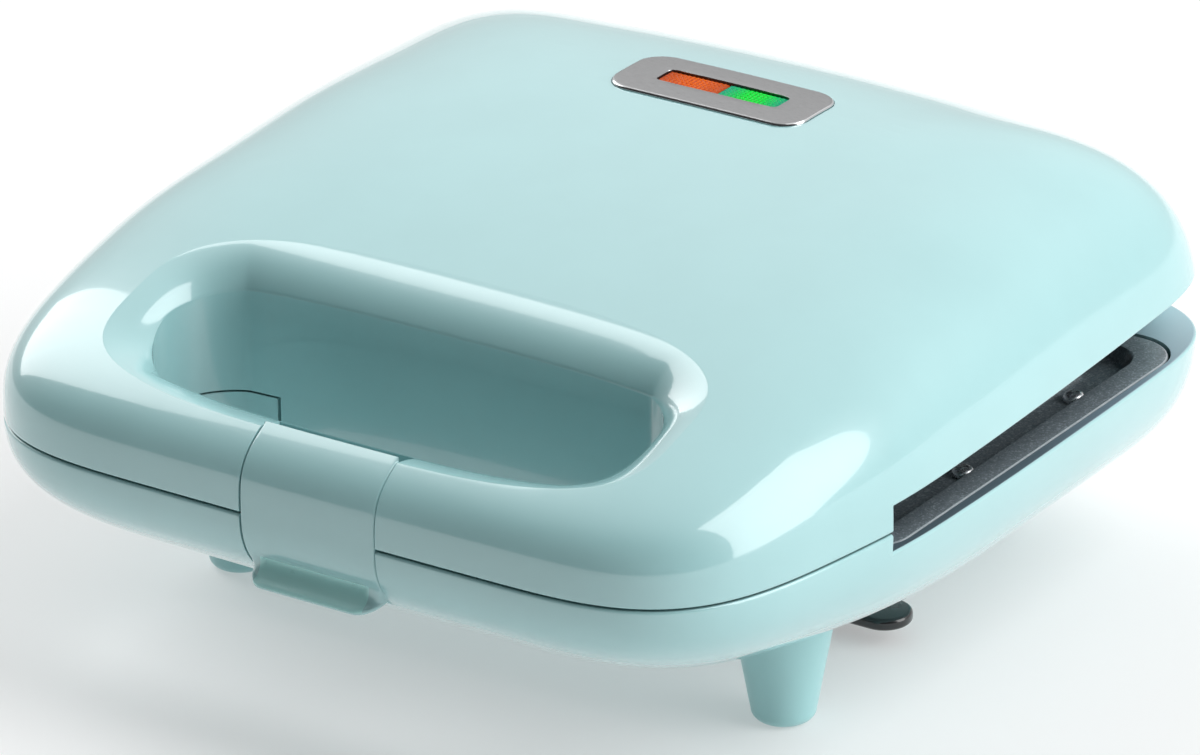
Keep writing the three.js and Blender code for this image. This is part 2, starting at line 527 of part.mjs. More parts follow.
function tube(points, r, sides = 8, steps = 64) {
  const curve = new THREE.CatmullRomCurve3(points.map((p) => new THREE.Vector3(...p)), false, 'centripetal');
  const circle = [];
  for (let i = 0; i < sides; i++) circle.push([r * Math.cos((i / sides) * 2 * Math.PI), r * Math.sin((i / sides) * 2 * Math.PI)]);
  return solid(new THREE.ExtrudeGeometry(shape(circle), { steps, extrudePath: curve, bevelEnabled: false }));
}
const heaterPath = (z) => [
  [24, 64.5, z], [24, 60, z], [26, 56.5, z], [32, 55, z], [70, 55, z], [78, 51, z], [80, 42, z], [80, -4, z], [77, -14, z], [68, -18, z],
  [0, -18, z], [-68, -18, z], [-77, -14, z], [-80, -4, z], [-80, 42, z], [-78, 51, z], [-70, 55, z], [-32, 55, z], [-26, 56.5, z], [-24, 60, z], [-24, 64.5, z]];
add('lower_heating_element', tube(heaterPath(46.4), 3.2, 6, 34), heater);
add('upper_heating_element', tube(heaterPath(71.2), 3.2, 6, 34), heater);

// pressed sheet trays that throw the heat back at the plates
const tray = (z, dir) => {
  const loop = inner(FLANGE + TROUGH + 6);
  const b = prism(loop, Math.min(z, z + dir * 0.8), Math.max(z, z + dir * 0.8));
  const edge = prism(loop, Math.min(z, z + dir * 3.2), Math.max(z, z + dir * 3.2)).subtract(
    prism(inner(FLANGE + TROUGH + 6.9), Math.min(z, z + dir * 3.2) - 1, Math.max(z, z + dir * 3.2) + 1));
  return b.add(edge);
};
add('lower_heat_reflector', tray(38.6, 1), sheet);
add('upper_heat_reflector', tray(82.0, -1), sheet);

// ---------------------------------------------------------------- latch

const front = (s) => CENTRE_Y - s * radius(-Math.PI / 2);
const latchOuter = [];
for (const s of [0.915, 0.926, 0.937, 0.947, 0.955, 0.962, 0.97, 0.978, 0.985, 0.99, 0.994, 0.9968, 0.9985, 0.9994, 0.9998]) {
  const y = front(s);
  if (y < LATCH_TOP_Y - 0.3) latchOuter.push([y, lidZ(0, y)]);
}
latchOuter.push([front(1) + 0.02, PARTING_Z]);
for (const s of [0.9996, 0.9985, 0.996, 0.992, 0.987]) latchOuter.push([front(s), baseZ(0, front(s))]);
const zAt = (want) => {         // front face of the base at a height
  let a = 0.9, b = 1;
  for (let i = 0; i < 40; i++) { const m = (a + b) / 2; if (baseZ(0, front(m)) < want) a = m; else b = m; }
  return front((a + b) / 2);
};
const lower = latchOuter.filter((p) => p[1] > 47.9);
const scoop = [[zAt(47.4), 47.4], [zAt(47.4) + 1.4, 46.4], [zAt(47.4) + 1.7, 44.9], [zAt(47.4) + 0.4, 43.6], [-114.6, 42.9], [-116.0, 42.5],
  [-116.3, 41.9], [-115.9, 41.3], [-114.4, 40.9], [-112.6, 40.7]];
const inside = [[-110.7, 41.2], [-110.4, 43.6], [-108.9, 44.2], [-108.9, 47.0], [-111.3, 47.0], [-112.1, 49], [-112.3, 56], [-112.2, 61],
  [-111.4, 64.6], [-110.6, 66.6], [-109.9, 67.2]];
const hub = [];
for (let a = 205; a <= 372; a += 21) hub.push([PIVOT_Y + 3.9 * Math.cos((a * Math.PI) / 180), PIVOT_Z + 3.9 * Math.sin((a * Math.PI) / 180)]);
const topY = LATCH_TOP_Y, topZ = lidZ(0, LATCH_TOP_Y - 4) - 1.6;
const flap = [[PIVOT_Y + 3.9, topZ - 2.8], [topY, topZ - 1.9], [topY, topZ - 0.8], [topY - 0.6, topZ + 0.4]];
const latchOutline = [...lower, ...scoop, ...inside, ...hub, ...flap];
let latch = prismX(latchOutline, -LATCH_HALF, LATCH_HALF);
const keepTab = all([
  box(-30, 30, -130, -90, 42.95, 100),
  prism([[-15.2, -130], [15.2, -130], [15.2, -90], [-15.2, -90]], 30, 43),
]);
latch = latch.intersect(keepTab);
// hook only in the middle, hub hollowed beside the pin
latch = cut(latch,
  box(-30, -7, -111.25, -104, 40, 47.3), box(7, 30, -111.25, -104, 40, 47.3),
  rod(PIN_R + 0.3, [-30, PIVOT_Y, PIVOT_Z], [30, PIVOT_Y, PIVOT_Z], 16),
  prismX([[-110.6, 62], [-103, 62], [-103, 68.4], [-110.0, 73.2]], -11, 11));
add('latch', latch, mint);
add('latch_pin', rod(PIN_R, [-20.9, PIVOT_Y, PIVOT_Z], [20.9, PIVOT_Y, PIVOT_Z], 16), steel);

// ---------------------------------------------------------------- indicator plate

const labelPlate = slab(labelLoop(0), (x, y) => lidZ(x, y) - LABEL_DEEP, (x, y) => lidZ(x, y) + LABEL_PROUD, 3)
  .subtract(prism(rounded(-WINDOW_X, WINDOW_X, WINDOW_Y0, WINDOW_Y1, 1.6, 4), 80, 120));
add('indicator_plate', labelPlate, steel);
function lens(x0, x1) {
  return slab(rounded(x0, x1, WINDOW_Y0 + 0.3, WINDOW_Y1 - 0.3, 1.1, 3), (x, y) => lidZ(x, y) - 3.4, (x, y) => lidZ(x, y) + LABEL_PROUD - 0.35, 2);
}
add('power_lens', lens(-WINDOW_X + 0.3, -0.2), amber);
add('ready_lens', lens(0.2, WINDOW_X - 0.3), green);
const lampZ = lidZ(0, 55) - 6.0;
add('lamp_holder', cut(box(-21, 21, 48.6, 61.4, lampZ - 9.5, lampZ - 0.2), box(-16.6, -1.2, 50.6, 59.4, lampZ - 7.5, lampZ + 2),
  box(1.2, 16.6, 50.6, 59.4, lampZ - 7.5, lampZ + 2)), ceramic);
for (const s of [-1, 1]) {
  add(s < 0 ? 'power_lamp' : 'ready_lamp', turned([[0, -5.6], [1.6, -5.2], [2.4, -3.8], [2.4, 3.4], [2.0, 5.0], [0, 5.6]], 0, 0, 14)
    .rotate([0, 90, 0]).translate([s * 8.9, 55, lampZ - 4.2]), clear);
}

// ---------------------------------------------------------------- controls

function thermostat(x, y, z) {
  return all([turned([[0, 0], [8.4, 0], [8.4, 2.2], [7.2, 2.2], [7.2, 7.4], [0, 7.4]], x, y, 18),
    box(x - 6.5, x - 4.7, y - 3.2, y + 3.2, 7, 10.4), box(x + 4.7, x + 6.5, y - 3.2, y + 3.2, 7, 10.4)]).translate([0, 0, z]);
}
add('thermostat', thermostat(40, 10, 67.7), black);
add('thermal_fuse', all([rod(2.4, [-46, 8, 71.2], [-34, 8, 71.2], 14), rod(0.6, [-56, 8, 71.2], [-24, 8, 71.2], 8)]), brass);
add('terminal_block', cut(box(-19, 19, 70, 84, 26.4, 38.6), ...[-12, 0, 12].map((x) => rod(2.1, [x, 66, 33.4], [x, 90, 33.4], 12))), ceramic);

// ---------------------------------------------------------------- feet, cleats, gland

const baseClear = dome(baseZ, -0.3, 64, [1, 0.98, 0.945, 0.89, 0.8, 0.64, 0.4], -1);
const footR = (z) => FOOT_R + FOOT_TAPER * z;
for (const s of [-1, 1]) {
  for (let i = 0; i < 2; i++) {
    const side = s < 0 ? 'left' : 'right', end = i ? 'rear' : 'front';
    const x = s * FOOT_X[i], y = FOOT_Y[i];
    const body = turned([[0, 0], [footR(0) - 3.2, 0], [footR(0) - 1.5, 0.4], [footR(0) - 0.35, 1.4], [footR(2.9), 2.9], [footR(36), 36], [0, 36]], x, y, 18);
    const spigot = rod(4.0, [x, y, 8], [x, y, 30.6], 12);
    add(`foot_${end}_${side}`, cut(body.subtract(baseClear).add(spigot), rod(1.5, [x, y, 12], [x, y, 40], 8)), mintSatin);
    add(`foot_screw_${end}_${side}`, turned([[0, 18], [1.2, 18], [1.2, 31], [5.4, 31], [5.4, 32.2], [0, 32.8]], x, y, 12), steel);
  }
  const x0 = s * 56, tip = s * CLEAT_X;
  const outline = [];
  for (let a = -90; a <= 90; a += 15) outline.push([tip + s * CLEAT_R * Math.cos((a * Math.PI) / 180), CLEAT_Y + CLEAT_R * Math.sin((a * Math.PI) / 180)]);
  outline.push([x0 - s * 6, CLEAT_Y + CLEAT_R], [x0 - s * 6, CLEAT_Y - CLEAT_R]);
  if (s < 0) outline.reverse();
  const post = prism(rounded(x0 - 6, x0 + 6, CLEAT_Y - 6, CLEAT_Y + 6, 2.5, 3), CLEAT_Z[0] + 0.5, 40).subtract(baseClear);
  add(`cord_cleat_${s < 0 ? 'left' : 'right'}`, all([prism(outline, CLEAT_Z[0], CLEAT_Z[1]), post, rod(2.4, [x0, CLEAT_Y, 12], [x0, CLEAT_Y, 30], 16)]), black);
}
const glandY = CENTRE_Y + radius(Math.PI / 2);
add('cord_gland', solid(new THREE.LatheGeometry([[3.6, glandY - 6], [5.9, glandY - 6], [5.9, glandY + 0.5], [7.6, glandY + 0.5],
  [7.6, glandY + 1.9], [6.8, glandY + 2.58], [3.6, glandY + 2.58], [3.6, glandY - 6]].map(([r, h]) => new THREE.Vector2(r, h)), 20)
  .translate(0, 0, 40)), black);

// ---------------------------------------------------------------- hinge pins

for (const s of [-1, 1]) {
  add(`hinge_pin_${s < 0 ? 'left' : 'right'}`, rod(HINGE_PIN_R, [s * 27, HINGE_Y, HINGE_Z], [s * 57, HINGE_Y, HINGE_Z], 12), steel);
}

export default grill;
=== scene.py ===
import math

import bpy
import numpy as np
from mathutils import Matrix, Quaternion, Vector


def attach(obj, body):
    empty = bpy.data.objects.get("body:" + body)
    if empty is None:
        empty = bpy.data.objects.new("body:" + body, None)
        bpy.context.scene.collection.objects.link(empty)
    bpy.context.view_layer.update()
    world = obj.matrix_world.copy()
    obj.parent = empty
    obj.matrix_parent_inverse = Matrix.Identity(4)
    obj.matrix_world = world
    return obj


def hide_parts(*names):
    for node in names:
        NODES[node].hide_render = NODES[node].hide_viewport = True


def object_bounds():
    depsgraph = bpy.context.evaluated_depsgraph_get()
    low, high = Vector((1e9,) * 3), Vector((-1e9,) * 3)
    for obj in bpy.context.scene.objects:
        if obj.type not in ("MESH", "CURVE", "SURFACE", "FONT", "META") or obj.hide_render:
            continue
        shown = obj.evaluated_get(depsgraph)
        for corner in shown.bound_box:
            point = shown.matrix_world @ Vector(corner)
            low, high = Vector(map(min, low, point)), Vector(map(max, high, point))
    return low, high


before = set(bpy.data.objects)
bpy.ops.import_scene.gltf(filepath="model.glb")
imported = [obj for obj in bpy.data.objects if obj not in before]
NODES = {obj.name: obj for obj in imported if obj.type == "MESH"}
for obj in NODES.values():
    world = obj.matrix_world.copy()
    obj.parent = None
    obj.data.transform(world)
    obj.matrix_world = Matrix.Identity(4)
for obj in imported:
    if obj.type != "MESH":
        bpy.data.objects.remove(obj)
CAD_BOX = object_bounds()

MM = 0.001

# ------------------------------------------------------------------ camera
AZ, EL, ROLL = math.radians(33.78), math.radians(24.14), math.radians(-0.54)
TARGET = np.array([-4.860, 9.954, 47.25])
DIST = 2101.3
LENS = 9009.0 * 36.0 / 1200.0
back = np.array([math.sin(AZ) * math.cos(EL), -math.cos(AZ) * math.cos(EL), math.sin(EL)])
right = np.array([math.cos(AZ), math.sin(AZ), 0.0])
up = np.cross(right, -back)
r2 = math.cos(ROLL) * right + math.sin(ROLL) * up
u2 = -math.sin(ROLL) * right + math.cos(ROLL) * up
eye = (TARGET + back * DIST) * MM
cam_data = bpy.data.cameras.new("camera")
cam_data.lens = LENS
cam_data.sensor_width = 36.0
cam_data.sensor_fit = "HORIZONTAL"
cam_data.clip_start = 0.05
cam_data.clip_end = 60.0
cam = bpy.data.objects.new("camera", cam_data)
m = Matrix((
    (r2[0], u2[0], back[0], eye[0]),
    (r2[1], u2[1], back[1], eye[1]),
    (r2[2], u2[2], back[2], eye[2]),
    (0, 0, 0, 1),
))
cam.matrix_world = m
bpy.context.scene.collection.objects.link(cam)
bpy.context.scene.camera = cam

# ------------------------------------------------------------------ the object's own dimensions, in mm
CENTRE_Y = 10.5
OUTLINE = [123.7262, -10.2862, 1.6864, -3.8506, -12.2796, 2.1071, -0.501, 2.1529, 1.9903, -0.7607, 0.0614, -1.0152, -0.3587,
           0.273, 0.0853, 0.354, 0.0721, -0.0883, -0.091, -0.0841, -0.0207, 0.013, 0.0343, 0.0141, 0.0041]
PARTING_Z, PARTING_GAP = 58.06, 0.5
WALL, DECK = 2.6, 2.4
CROWN = [44.127, 11.437, -10.601, 7.672, 9.404]
CROWN_SIDE = [-0.473, 0.489]
CROWN_X, CROWN_Y = 119.7, 115.5
# side, front, rear, front corner, rear corner
LID_N, LID_M = (5.1146, 5.4129, 3.8, 0.2875, -0.6306), (2.7083, 3.8594, 2.247, 0.423, -0.0486)
BELLY = 36.57
BASE_N, BASE_M = (7.2352, 2.5, 8.5739, -1.2677, -0.1345), (2.505, 2.4582, 3.3736, -0.1659, -0.0921)
SLOT_Y = -45.7
BASE_RIM_Z = 53.32
LID_RIM_Z, LID_RIM_Y, LID_RIM_SLOPE = 65.61, -5.8, 0.0269
HOLE_Y, HOLE_A, HOLE_B = -76.0, 74.4, 29.9
HOLE_N_REAR, HOLE_N_FRONT = 3.1, 3.6
WALL_X, WALL_Y, WALL_R = 48.15, -76.15, 17.85
LIP_DROP_REAR, LIP_DROP_FRONT, LIP_FROM, LIP_TO = 9.2, 4.9, 19.0, 72.0
SKIRT_X, SKIRT_Z = 46.7, 44.0
LATCH_HALF, LATCH_SIDE_GAP, LATCH_TOP_Y = 18.2, 0.3, -103.4
PIVOT_Y, PIVOT_Z = -107.4, 69.4
PLATE_X, PLATE_Y0, PLATE_Y1, PLATE_R, PLATE_FIT = 108.4, -47.4, 86.4, 11.2, 0.6
FLANGE, TROUGH = 6.9, 10.6
LOWER_FLANGE_Z, LOWER_TROUGH_Z, LOWER_TOP_Z = 53.1, 48.8, 53.4
UPPER_BOTTOM_Z = 64.2
RIB_H, RIB_PITCH, RIB_COUNT = 1.8, 11.2, 15
SCREW_X, SCREW_Y = 96.8, (6.0, 55.0)
FOOT_X, FOOT_Y, FOOT_R, FOOT_TAPER = (75.7, 58.0), (-36.8, 78.0), 7.1, 0.182
CLEAT_X, CLEAT_Y, CLEAT_R, CLEAT_Z = 73.7, 10.3, 7.1, (4.6, 7.6)
HINGE_Y, HINGE_Z, BARREL_R, HINGE_PIN_R = 109.5, 62.0, 6.0, 2.0
KNUCKLE, BARREL_END = (36.0, 48.0), 88.0
LABEL_X, LABEL_Y0, LABEL_Y1, LABEL_R = 26.6, 44.2, 66.8, 6.5
LABEL_PROUD, LABEL_DEEP = 0.75, 0.9
WINDOW_X, WINDOW_Y0, WINDOW_Y1 = 16.8, 51.9, 59.3


def radius(t):
    p = np.asarray(t, float) - math.pi / 2
    return sum(c * np.cos(k * p) for k, c in enumerate(OUTLINE))


def mix(x, y, tri):
    u, v = x / CROWN_X, (y - CENTRE_Y) / CROWN_Y
    c = u * u / (u * u + v * v + 1e-9)
    h = 0.5 * (1 + np.tanh(6 * v))
    return c * tri[0] + (1 - c) * ((1 - h) * tri[1] + h * tri[2]) + 4 * c * (1 - c) * ((1 - h) * tri[3] + h * tri[4])


def gauge(x, y, inset=0.0):
    d = y - CENTRE_Y
    return np.hypot(x, d) / (radius(np.arctan2(d, np.abs(x))) - inset)


def crown(x, y):
    u, v = x / CROWN_X, (y - CENTRE_Y) / CROWN_Y
    h = sum(c * v ** i for i, c in enumerate(CROWN))
    return h - (CROWN_SIDE[0] + CROWN_SIDE[1] * v) * u * u


def lid_z(x, y, inset=0.0):
    x, y = np.asarray(x, float), np.asarray(y, float)
    s = np.minimum(gauge(x, y, inset), 1)
    return PARTING_Z + (crown(x, y) - inset) * np.maximum(1 - s ** mix(x, y, LID_N), 0) ** (1 / mix(x, y, LID_M))


def base_z(x, y, inset=0.0):
    x, y = np.asarray(x, float), np.asarray(y, float)
    s = np.minimum(gauge(x, y, inset), 1)
    return PARTING_Z - (BELLY - inset) * np.maximum(1 - s ** mix(x, y, BASE_N), 0) ** (1 / mix(x, y, BASE_M))


def lid_rim(y):
    return LID_RIM_Z + LID_RIM_SLOPE * (y - LID_RIM_Y)


# ------------------------------------------------------------------ mesh helpers
COLL = bpy.context.scene.collection


def new_object(name, verts, faces, scale=MM):
    me = bpy.data.meshes.new(name)
    me.from_pydata([tuple(v) for v in (np.asarray(verts, float) * scale)], [], [tuple(int(i) for i in f) for f in faces])
    me.validate()
    me.update()
    ob = bpy.data.objects.new(name, me)
    COLL.objects.link(ob)
    return ob


def drop(ob):
    me = ob.data
    bpy.data.objects.remove(ob)
    bpy.data.meshes.remove(me)


def grid_faces(rows, cols, wrap_rows=False):
    f = []
    top = rows if wrap_rows else rows - 1
    for r in range(top):
        a0, b0 = r * cols, ((r + 1) % rows) * cols
        for c in range(cols):
            d = (c + 1) % cols
            f.append((a0 + c, a0 + d, b0 + d, b0 + c))
    return f


def volume(verts, faces):
    v = np.asarray(verts, float)
    total = 0.0
    for f in faces:
        for i in range(1, len(f) - 1):
            total += np.dot(v[f[0]], np.cross(v[f[i]], v[f[i + 1]]))
    return total / 6


def torus(name, rings):
    """Closed ring-shaped body from equal loops of points."""
    rows, cols = len(rings), len(rings[0])
    verts = np.concatenate([np.asarray(r, float) for r in rings])
    faces = grid_faces(rows, cols, True)
    if volume(verts, faces) < 0:
        faces = [f[::-1] for f in faces]
    return new_object(name, verts, faces)


def loft(name, rings):
    """Closed body from equal loops of points with a fan at both ends."""
    rows, cols = len(rings), len(rings[0])
    verts = np.concatenate([np.asarray(r, float) for r in rings])
    faces = grid_faces(rows, cols)
    lo, hi = len(verts), len(verts) + 1
    verts = np.vstack([verts, np.mean(rings[0], axis=0), np.mean(rings[-1], axis=0)])
    last = (rows - 1) * cols
    for c in range(cols):
        d = (c + 1) % cols
        faces.append((lo, d, c))
        faces.append((hi, last + c, last + d))
    if volume(verts, faces) < 0:
        faces = [f[::-1] for f in faces]
    return new_object(name, verts, faces)


def box(x0, x1, y0, y1, z0, z1, name="tool"):
    v = [(x, y, z) for z in (z0, z1) for y in (y0, y1) for x in (x0, x1)]
    f = [(0, 2, 3, 1), (4, 5, 7, 6), (0, 1, 5, 4), (2, 6, 7, 3), (0, 4, 6, 2), (1, 3, 7, 5)]
    return new_object(name, v, f)


def prism(points, z0, z1, name="tool"):
    """Loop of (x, y), anticlockwise or not, from z0 to z1."""
    p = [(x, y) for x, y in points]
    return loft(name, [[(x, y, z0) for x, y in p], [(x, y, z1) for x, y in p]])


def prism_x(points, x0, x1, name="tool"):
    n = len(points)
    v = [(x0, y, z) for y, z in points] + [(x1, y, z) for y, z in points]
    f = [tuple(range(n))[::-1], tuple(range(n, 2 * n))] + [(i, (i + 1) % n, n + (i + 1) % n, n + i) for i in range(n)]
    ob = new_object(name, v, f)
    fix_winding(ob)
    return ob


def fix_winding(ob):
    import bmesh
    bm = bmesh.new()
    bm.from_mesh(ob.data)
    bmesh.ops.triangulate(bm, faces=[f for f in bm.faces if len(f.verts) > 4])
    bmesh.ops.recalc_face_normals(bm, faces=bm.faces)
    if bm.calc_volume(signed=True) < 0:
        bmesh.ops.reverse_faces(bm, faces=bm.faces)
    bm.to_mesh(ob.data)
    bm.free()


def turned(name, profile, x=0.0, y=0.0, sides=64):
    """Profile of (radius, z) from axis to axis, turned about a vertical axis."""
    rings, ends = [], []
    prof = list(profile)
    a = np.arange(sides) / sides * 2 * math.pi
    body = [p for p in prof if p[0] > 1e-6]
    for r, z in body:
        rings.append(np.stack([x + r * np.cos(a), y + r * np.sin(a), np.full(sides, z)], 1))
    ob = loft(name, rings)
    me = ob.data
    me.vertices[len(me.vertices) - 2].co.z = prof[0][1] * MM
    me.vertices[len(me.vertices) - 1].co.z = prof[-1][1] * MM
    return ob


def rod_x(name, profile, y, z, sides=64):
    """Profile of (radius, x) turned about an axis along X."""
    a = np.arange(sides) / sides * 2 * math.pi
    rings = [np.stack([np.full(sides, x), y + r * np.cos(a), z + r * np.sin(a)], 1) for r, x in profile]
    return loft(name, rings)


def boolean(ob, tool, op, keep=False):
    mod = ob.modifiers.new("b", "BOOLEAN")
    mod.operation = op
    mod.object = tool
    mod.solver = "MANIFOLD"
    dg = bpy.context.evaluated_depsgraph_get()
    me = bpy.data.meshes.new_from_object(ob.evaluated_get(dg))
    if len(me.polygons) == 0 and op != "INTERSECT":
        bpy.data.meshes.remove(me)
        mod.solver = "EXACT"
        dg = bpy.context.evaluated_depsgraph_get()
        me = bpy.data.meshes.new_from_object(ob.evaluated_get(dg))
        print("exact boolean used on", ob.name, tool.name)
    ob.modifiers.clear()
    old = ob.data
    ob.data = me
    me.name = ob.name
    bpy.data.meshes.remove(old)
    if not keep:
        drop(tool)
    return ob


def cut(ob, *tools):
    for t in tools:
        boolean(ob, t, "DIFFERENCE")
    return ob


def join(ob, *tools):
    for t in tools:
        boolean(ob, t, "UNION")
    return ob


def keep_in(ob, tool):
    return boolean(ob, tool, "INTERSECT")


def smooth(ob, angle=32.0):
    me = ob.data
    me.polygons.foreach_set("use_smooth", np.ones(len(me.polygons), bool))
    me.set_sharp_from_angle(angle=math.radians(angle))
    me.update()


def rounded(x0, x1, y0, y1, r, n=10, per_side=0):
    pts = []
    for cx, cy, a0 in [(x1 - r, y0 + r, -90), (x1 - r, y1 - r, 0), (x0 + r, y1 - r, 90), (x0 + r, y0 + r, 180)]:
        for i in range(n + 1):
            a = math.radians(a0 + 90 * i / n)
            pts.append((cx + r * math.cos(a), cy + r * math.sin(a)))
    if per_side:
        out = []
        for i, p in enumerate(pts):
            q = pts[(i + 1) % len(pts)]
            out.append(p)
            if math.dist(p, q) > 2 * r * math.pi / 2 / n + 1e-9:
                out += [(p[0] + (q[0] - p[0]) * k / per_side, p[1] + (q[1] - p[1]) * k / per_side) for k in range(1, per_side)]
        pts = out
    return pts


def plate_loop(d, z=None, n=10):
    r = max(PLATE_R - d * 0.35, 5) if d > 0 else PLATE_R - d
    return rounded(-PLATE_X + d, PLATE_X - d, PLATE_Y0 + d, PLATE_Y1 - d, r, n)


# ------------------------------------------------------------------ shells
N_COL = 420
fine_t = np.linspace(-math.pi, math.pi, 20001)
fine_r = radius(np.arctan2(np.sin(fine_t), np.abs(np.cos(fine_t))))
fx, fy = fine_r * np.cos(fine_t), CENTRE_Y + fine_r * np.sin(fine_t)
arc = np.concatenate([[0], np.cumsum(np.hypot(np.diff(fx), np.diff(fy)))])
cols = np.interp(np.arange(N_COL) / N_COL * arc[-1], arc, fine_t)
step_t = []
for side in (1, -1):
    sel = (np.sign(np.cos(fine_t)) == side) & (np.abs(np.sin(fine_t)) < 0.9)
    i = np.argmin(np.where(sel, np.abs(fy - SLOT_Y), 1e9))
    step_t.append(fine_t[i])
for t in step_t:
    cols = cols[np.abs(cols - t) > 0.006]
    cols = np.concatenate([cols, [t - 0.0001, t + 0.0001]])
cols = np.sort(cols)
N = len(cols)
ct, st = np.cos(cols), np.sin(cols)
col_r = radius(np.arctan2(st, np.abs(ct)))


def ring_at(s, inset=0.0):
    r = (col_r - inset) * s
    return r * ct, CENTRE_Y + r * st


rear_half = (CENTRE_Y + col_r * st) > SLOT_Y
lid_bottom = np.where(rear_half, lid_rim(CENTRE_Y + col_r * st), PARTING_Z + PARTING_GAP / 2)
base_top = np.where(rear_half, BASE_RIM_Z, PARTING_Z - PARTING_GAP / 2)

# crest of the finger hole on the ray from the hole's middle to each column's inner ring
S_IN = 0.93
ring_x, ring_y = ring_at(S_IN)
ang = np.arctan2(ring_y - HOLE_Y, ring_x)
cph, sph = np.cos(ang), np.sin(ang)
hn = np.where(sph >= 0, HOLE_N_REAR, HOLE_N_FRONT)
rad = (np.abs(cph / HOLE_A) ** hn + np.abs(sph / HOLE_B) ** hn) ** (-1 / hn)
crest_x, crest_y = rad * cph, HOLE_Y + rad * sph
gx = np.sign(cph) * np.abs(crest_x / HOLE_A) ** (hn - 1) / HOLE_A
gy = np.sign(sph) * np.abs((crest_y - HOLE_Y) / HOLE_B) ** (hn - 1) / HOLE_B
gl = np.hypot(gx, gy)
nx, ny = gx / gl, gy / gl


mid_x = np.clip(crest_x * 0.82, -WALL_X, WALL_X)
out_x, out_y = crest_x - mid_x, crest_y - WALL_Y
out_l = np.hypot(out_x, out_y)
out_x, out_y = out_x / out_l, out_y / out_l


def wall_at(grow):
    """Upright wall of the finger hole, moved outwards by grow."""
    return mid_x + out_x * (WALL_R + grow), WALL_Y + out_y * (WALL_R + grow)


def lip_at(run, grow=0.0):
    """run is 0 at the wall and 1 at the crest."""
    wx_, wy_ = wall_at(grow)
    return wx_ + (crest_x + out_x * grow - wx_) * run, wy_ + (crest_y + out_y * grow - wy_) * run


def lip_arc(q):
    """Run and rise, both 0 at the wall and 1 at the crest, for q from 0 to 1."""
    a1, a0 = math.radians(LIP_TO), math.radians(LIP_FROM)
    b = a1 + (a0 - a1) * q
    return (math.sin(a1) - math.sin(b)) / (math.sin(a1) - math.sin(a0)), (math.cos(b) - math.cos(a1)) / (math.cos(a0) - math.cos(a1))


def lip_drop(y):
    f = np.clip((y - (HOLE_Y - HOLE_B)) / (2 * HOLE_B), 0, 1)
    g = np.clip((f - 0.45) / 0.55, 0, 1)
    return LIP_DROP_FRONT + (LIP_DROP_REAR - LIP_DROP_FRONT) * g * g * (3 - 2 * g)


def profile_rows(surface, edge_z, sign, r_edge, n_rows, s_in=S_IN):
    """Rings from the inner ring out over the shoulder to the rounded rim edge."""
    k = 240
    a = np.linspace(0, 1, k)[:, None]

    def meets(edge):
        # s where the surface meets the top of a rim rounding that ends at this height
        lo, hi = np.full(N, s_in), np.ones(N)
        for _ in range(46):
            mid = (lo + hi) / 2
            x, y = ring_at(mid)
            high = sign * (surface(x, y) - (edge + sign * r_edge)) > 0
            lo, hi = np.where(high, mid, lo), np.where(high, hi, mid)
        return (lo + hi) / 2

    s_end = meets(edge_z)
    # rows keep one spacing all round, down to the parting line; those past a nearer rim gather at it
    s = s_in + (meets(PARTING_Z + sign * PARTING_GAP / 2) - s_in) * (1 - (1 - a) ** 2.6)
    r = col_r * s
    x, y = r * ct, CENTRE_Y + r * st
    z = surface(x, y)
    d = np.sqrt(np.diff(x, axis=0) ** 2 + np.diff(y, axis=0) ** 2 + np.diff(z, axis=0) ** 2)
    length = np.concatenate([np.zeros((1, N)), np.cumsum(d, axis=0)])
    own_end = np.array([np.interp(s_end[c], s[:, c], length[:, c]) for c in range(N)])
    rings = []
    for q in range(1, n_rows + 1):
        want = np.minimum(length[-1] * q / n_rows, own_end - (n_rows - q) * 0.15)
        sx = np.empty(N)
        for c in range(N):
            sx[c] = np.interp(want[c], length[:, c], s[:, c])
        rr = col_r * sx
        px, py = rr * ct, CENTRE_Y + rr * st
        rings.append(np.stack([px, py, surface(px, py)], 1))
    # rounding at the rim
    r_out = col_r * s_end
    for q in range(1, 5):
        b = q / 4 * math.pi / 2
        rr = r_out - r_edge * (1 - math.cos(b))
        rings.append(np.stack([rr * ct, CENTRE_Y + rr * st, edge_z + sign * r_edge * (1 - math.sin(b))], 1))
    return rings


def annulus(surface, x0, y0, n_rows):
    rings = []
    for q in range(1, n_rows + 1):
        w = 0.4 * 0.5 * (1 - math.cos(math.pi * q / n_rows)) + 0.6 * q / n_rows
        x, y = x0 + (ring_x - x0) * w, y0 + (ring_y - y0) * w
        rings.append(np.stack([x, y, surface(x, y)], 1))
    return rings


# lid blank: up the wall of the finger hole, over its lip, across the crown, down the shoulder
crest_z = lid_z(crest_x, crest_y)
drop_z = lip_drop(crest_y)
rings = []
wx, wy = wall_at(0)
for z in (30.0, 48.0, 62.0):
    rings.append(np.stack([wx, wy, np.full(N, z)], 1))
rings.append(np.stack([wx, wy, crest_z - drop_z - 0.9], 1))
rings.append(np.stack([wx, wy, crest_z - drop_z - 0.22], 1))
STEPS = 15
for q in [k / STEPS for k in range(STEPS)] + [0.985, 1.0]:
    run, rise = lip_arc(q)
    x, y = lip_at(run)
    rings.append(np.stack([x, y, crest_z - drop_z * (1 - rise)], 1))
x, y = crest_x + (ring_x - crest_x) * 0.0015, crest_y + (ring_y - crest_y) * 0.0015
rings.append(np.stack([x, y, lid_z(x, y)], 1))
rings += annulus(lid_z, crest_x, crest_y, 46)
rings += profile_rows(lid_z, lid_bottom, 1, 0.55, 26)
rings.append(np.stack([rings[-1][:, 0], rings[-1][:, 1], np.full(N, 30.0)], 1))
lid = torus("lid_shell_fine", rings)

FAR = 170


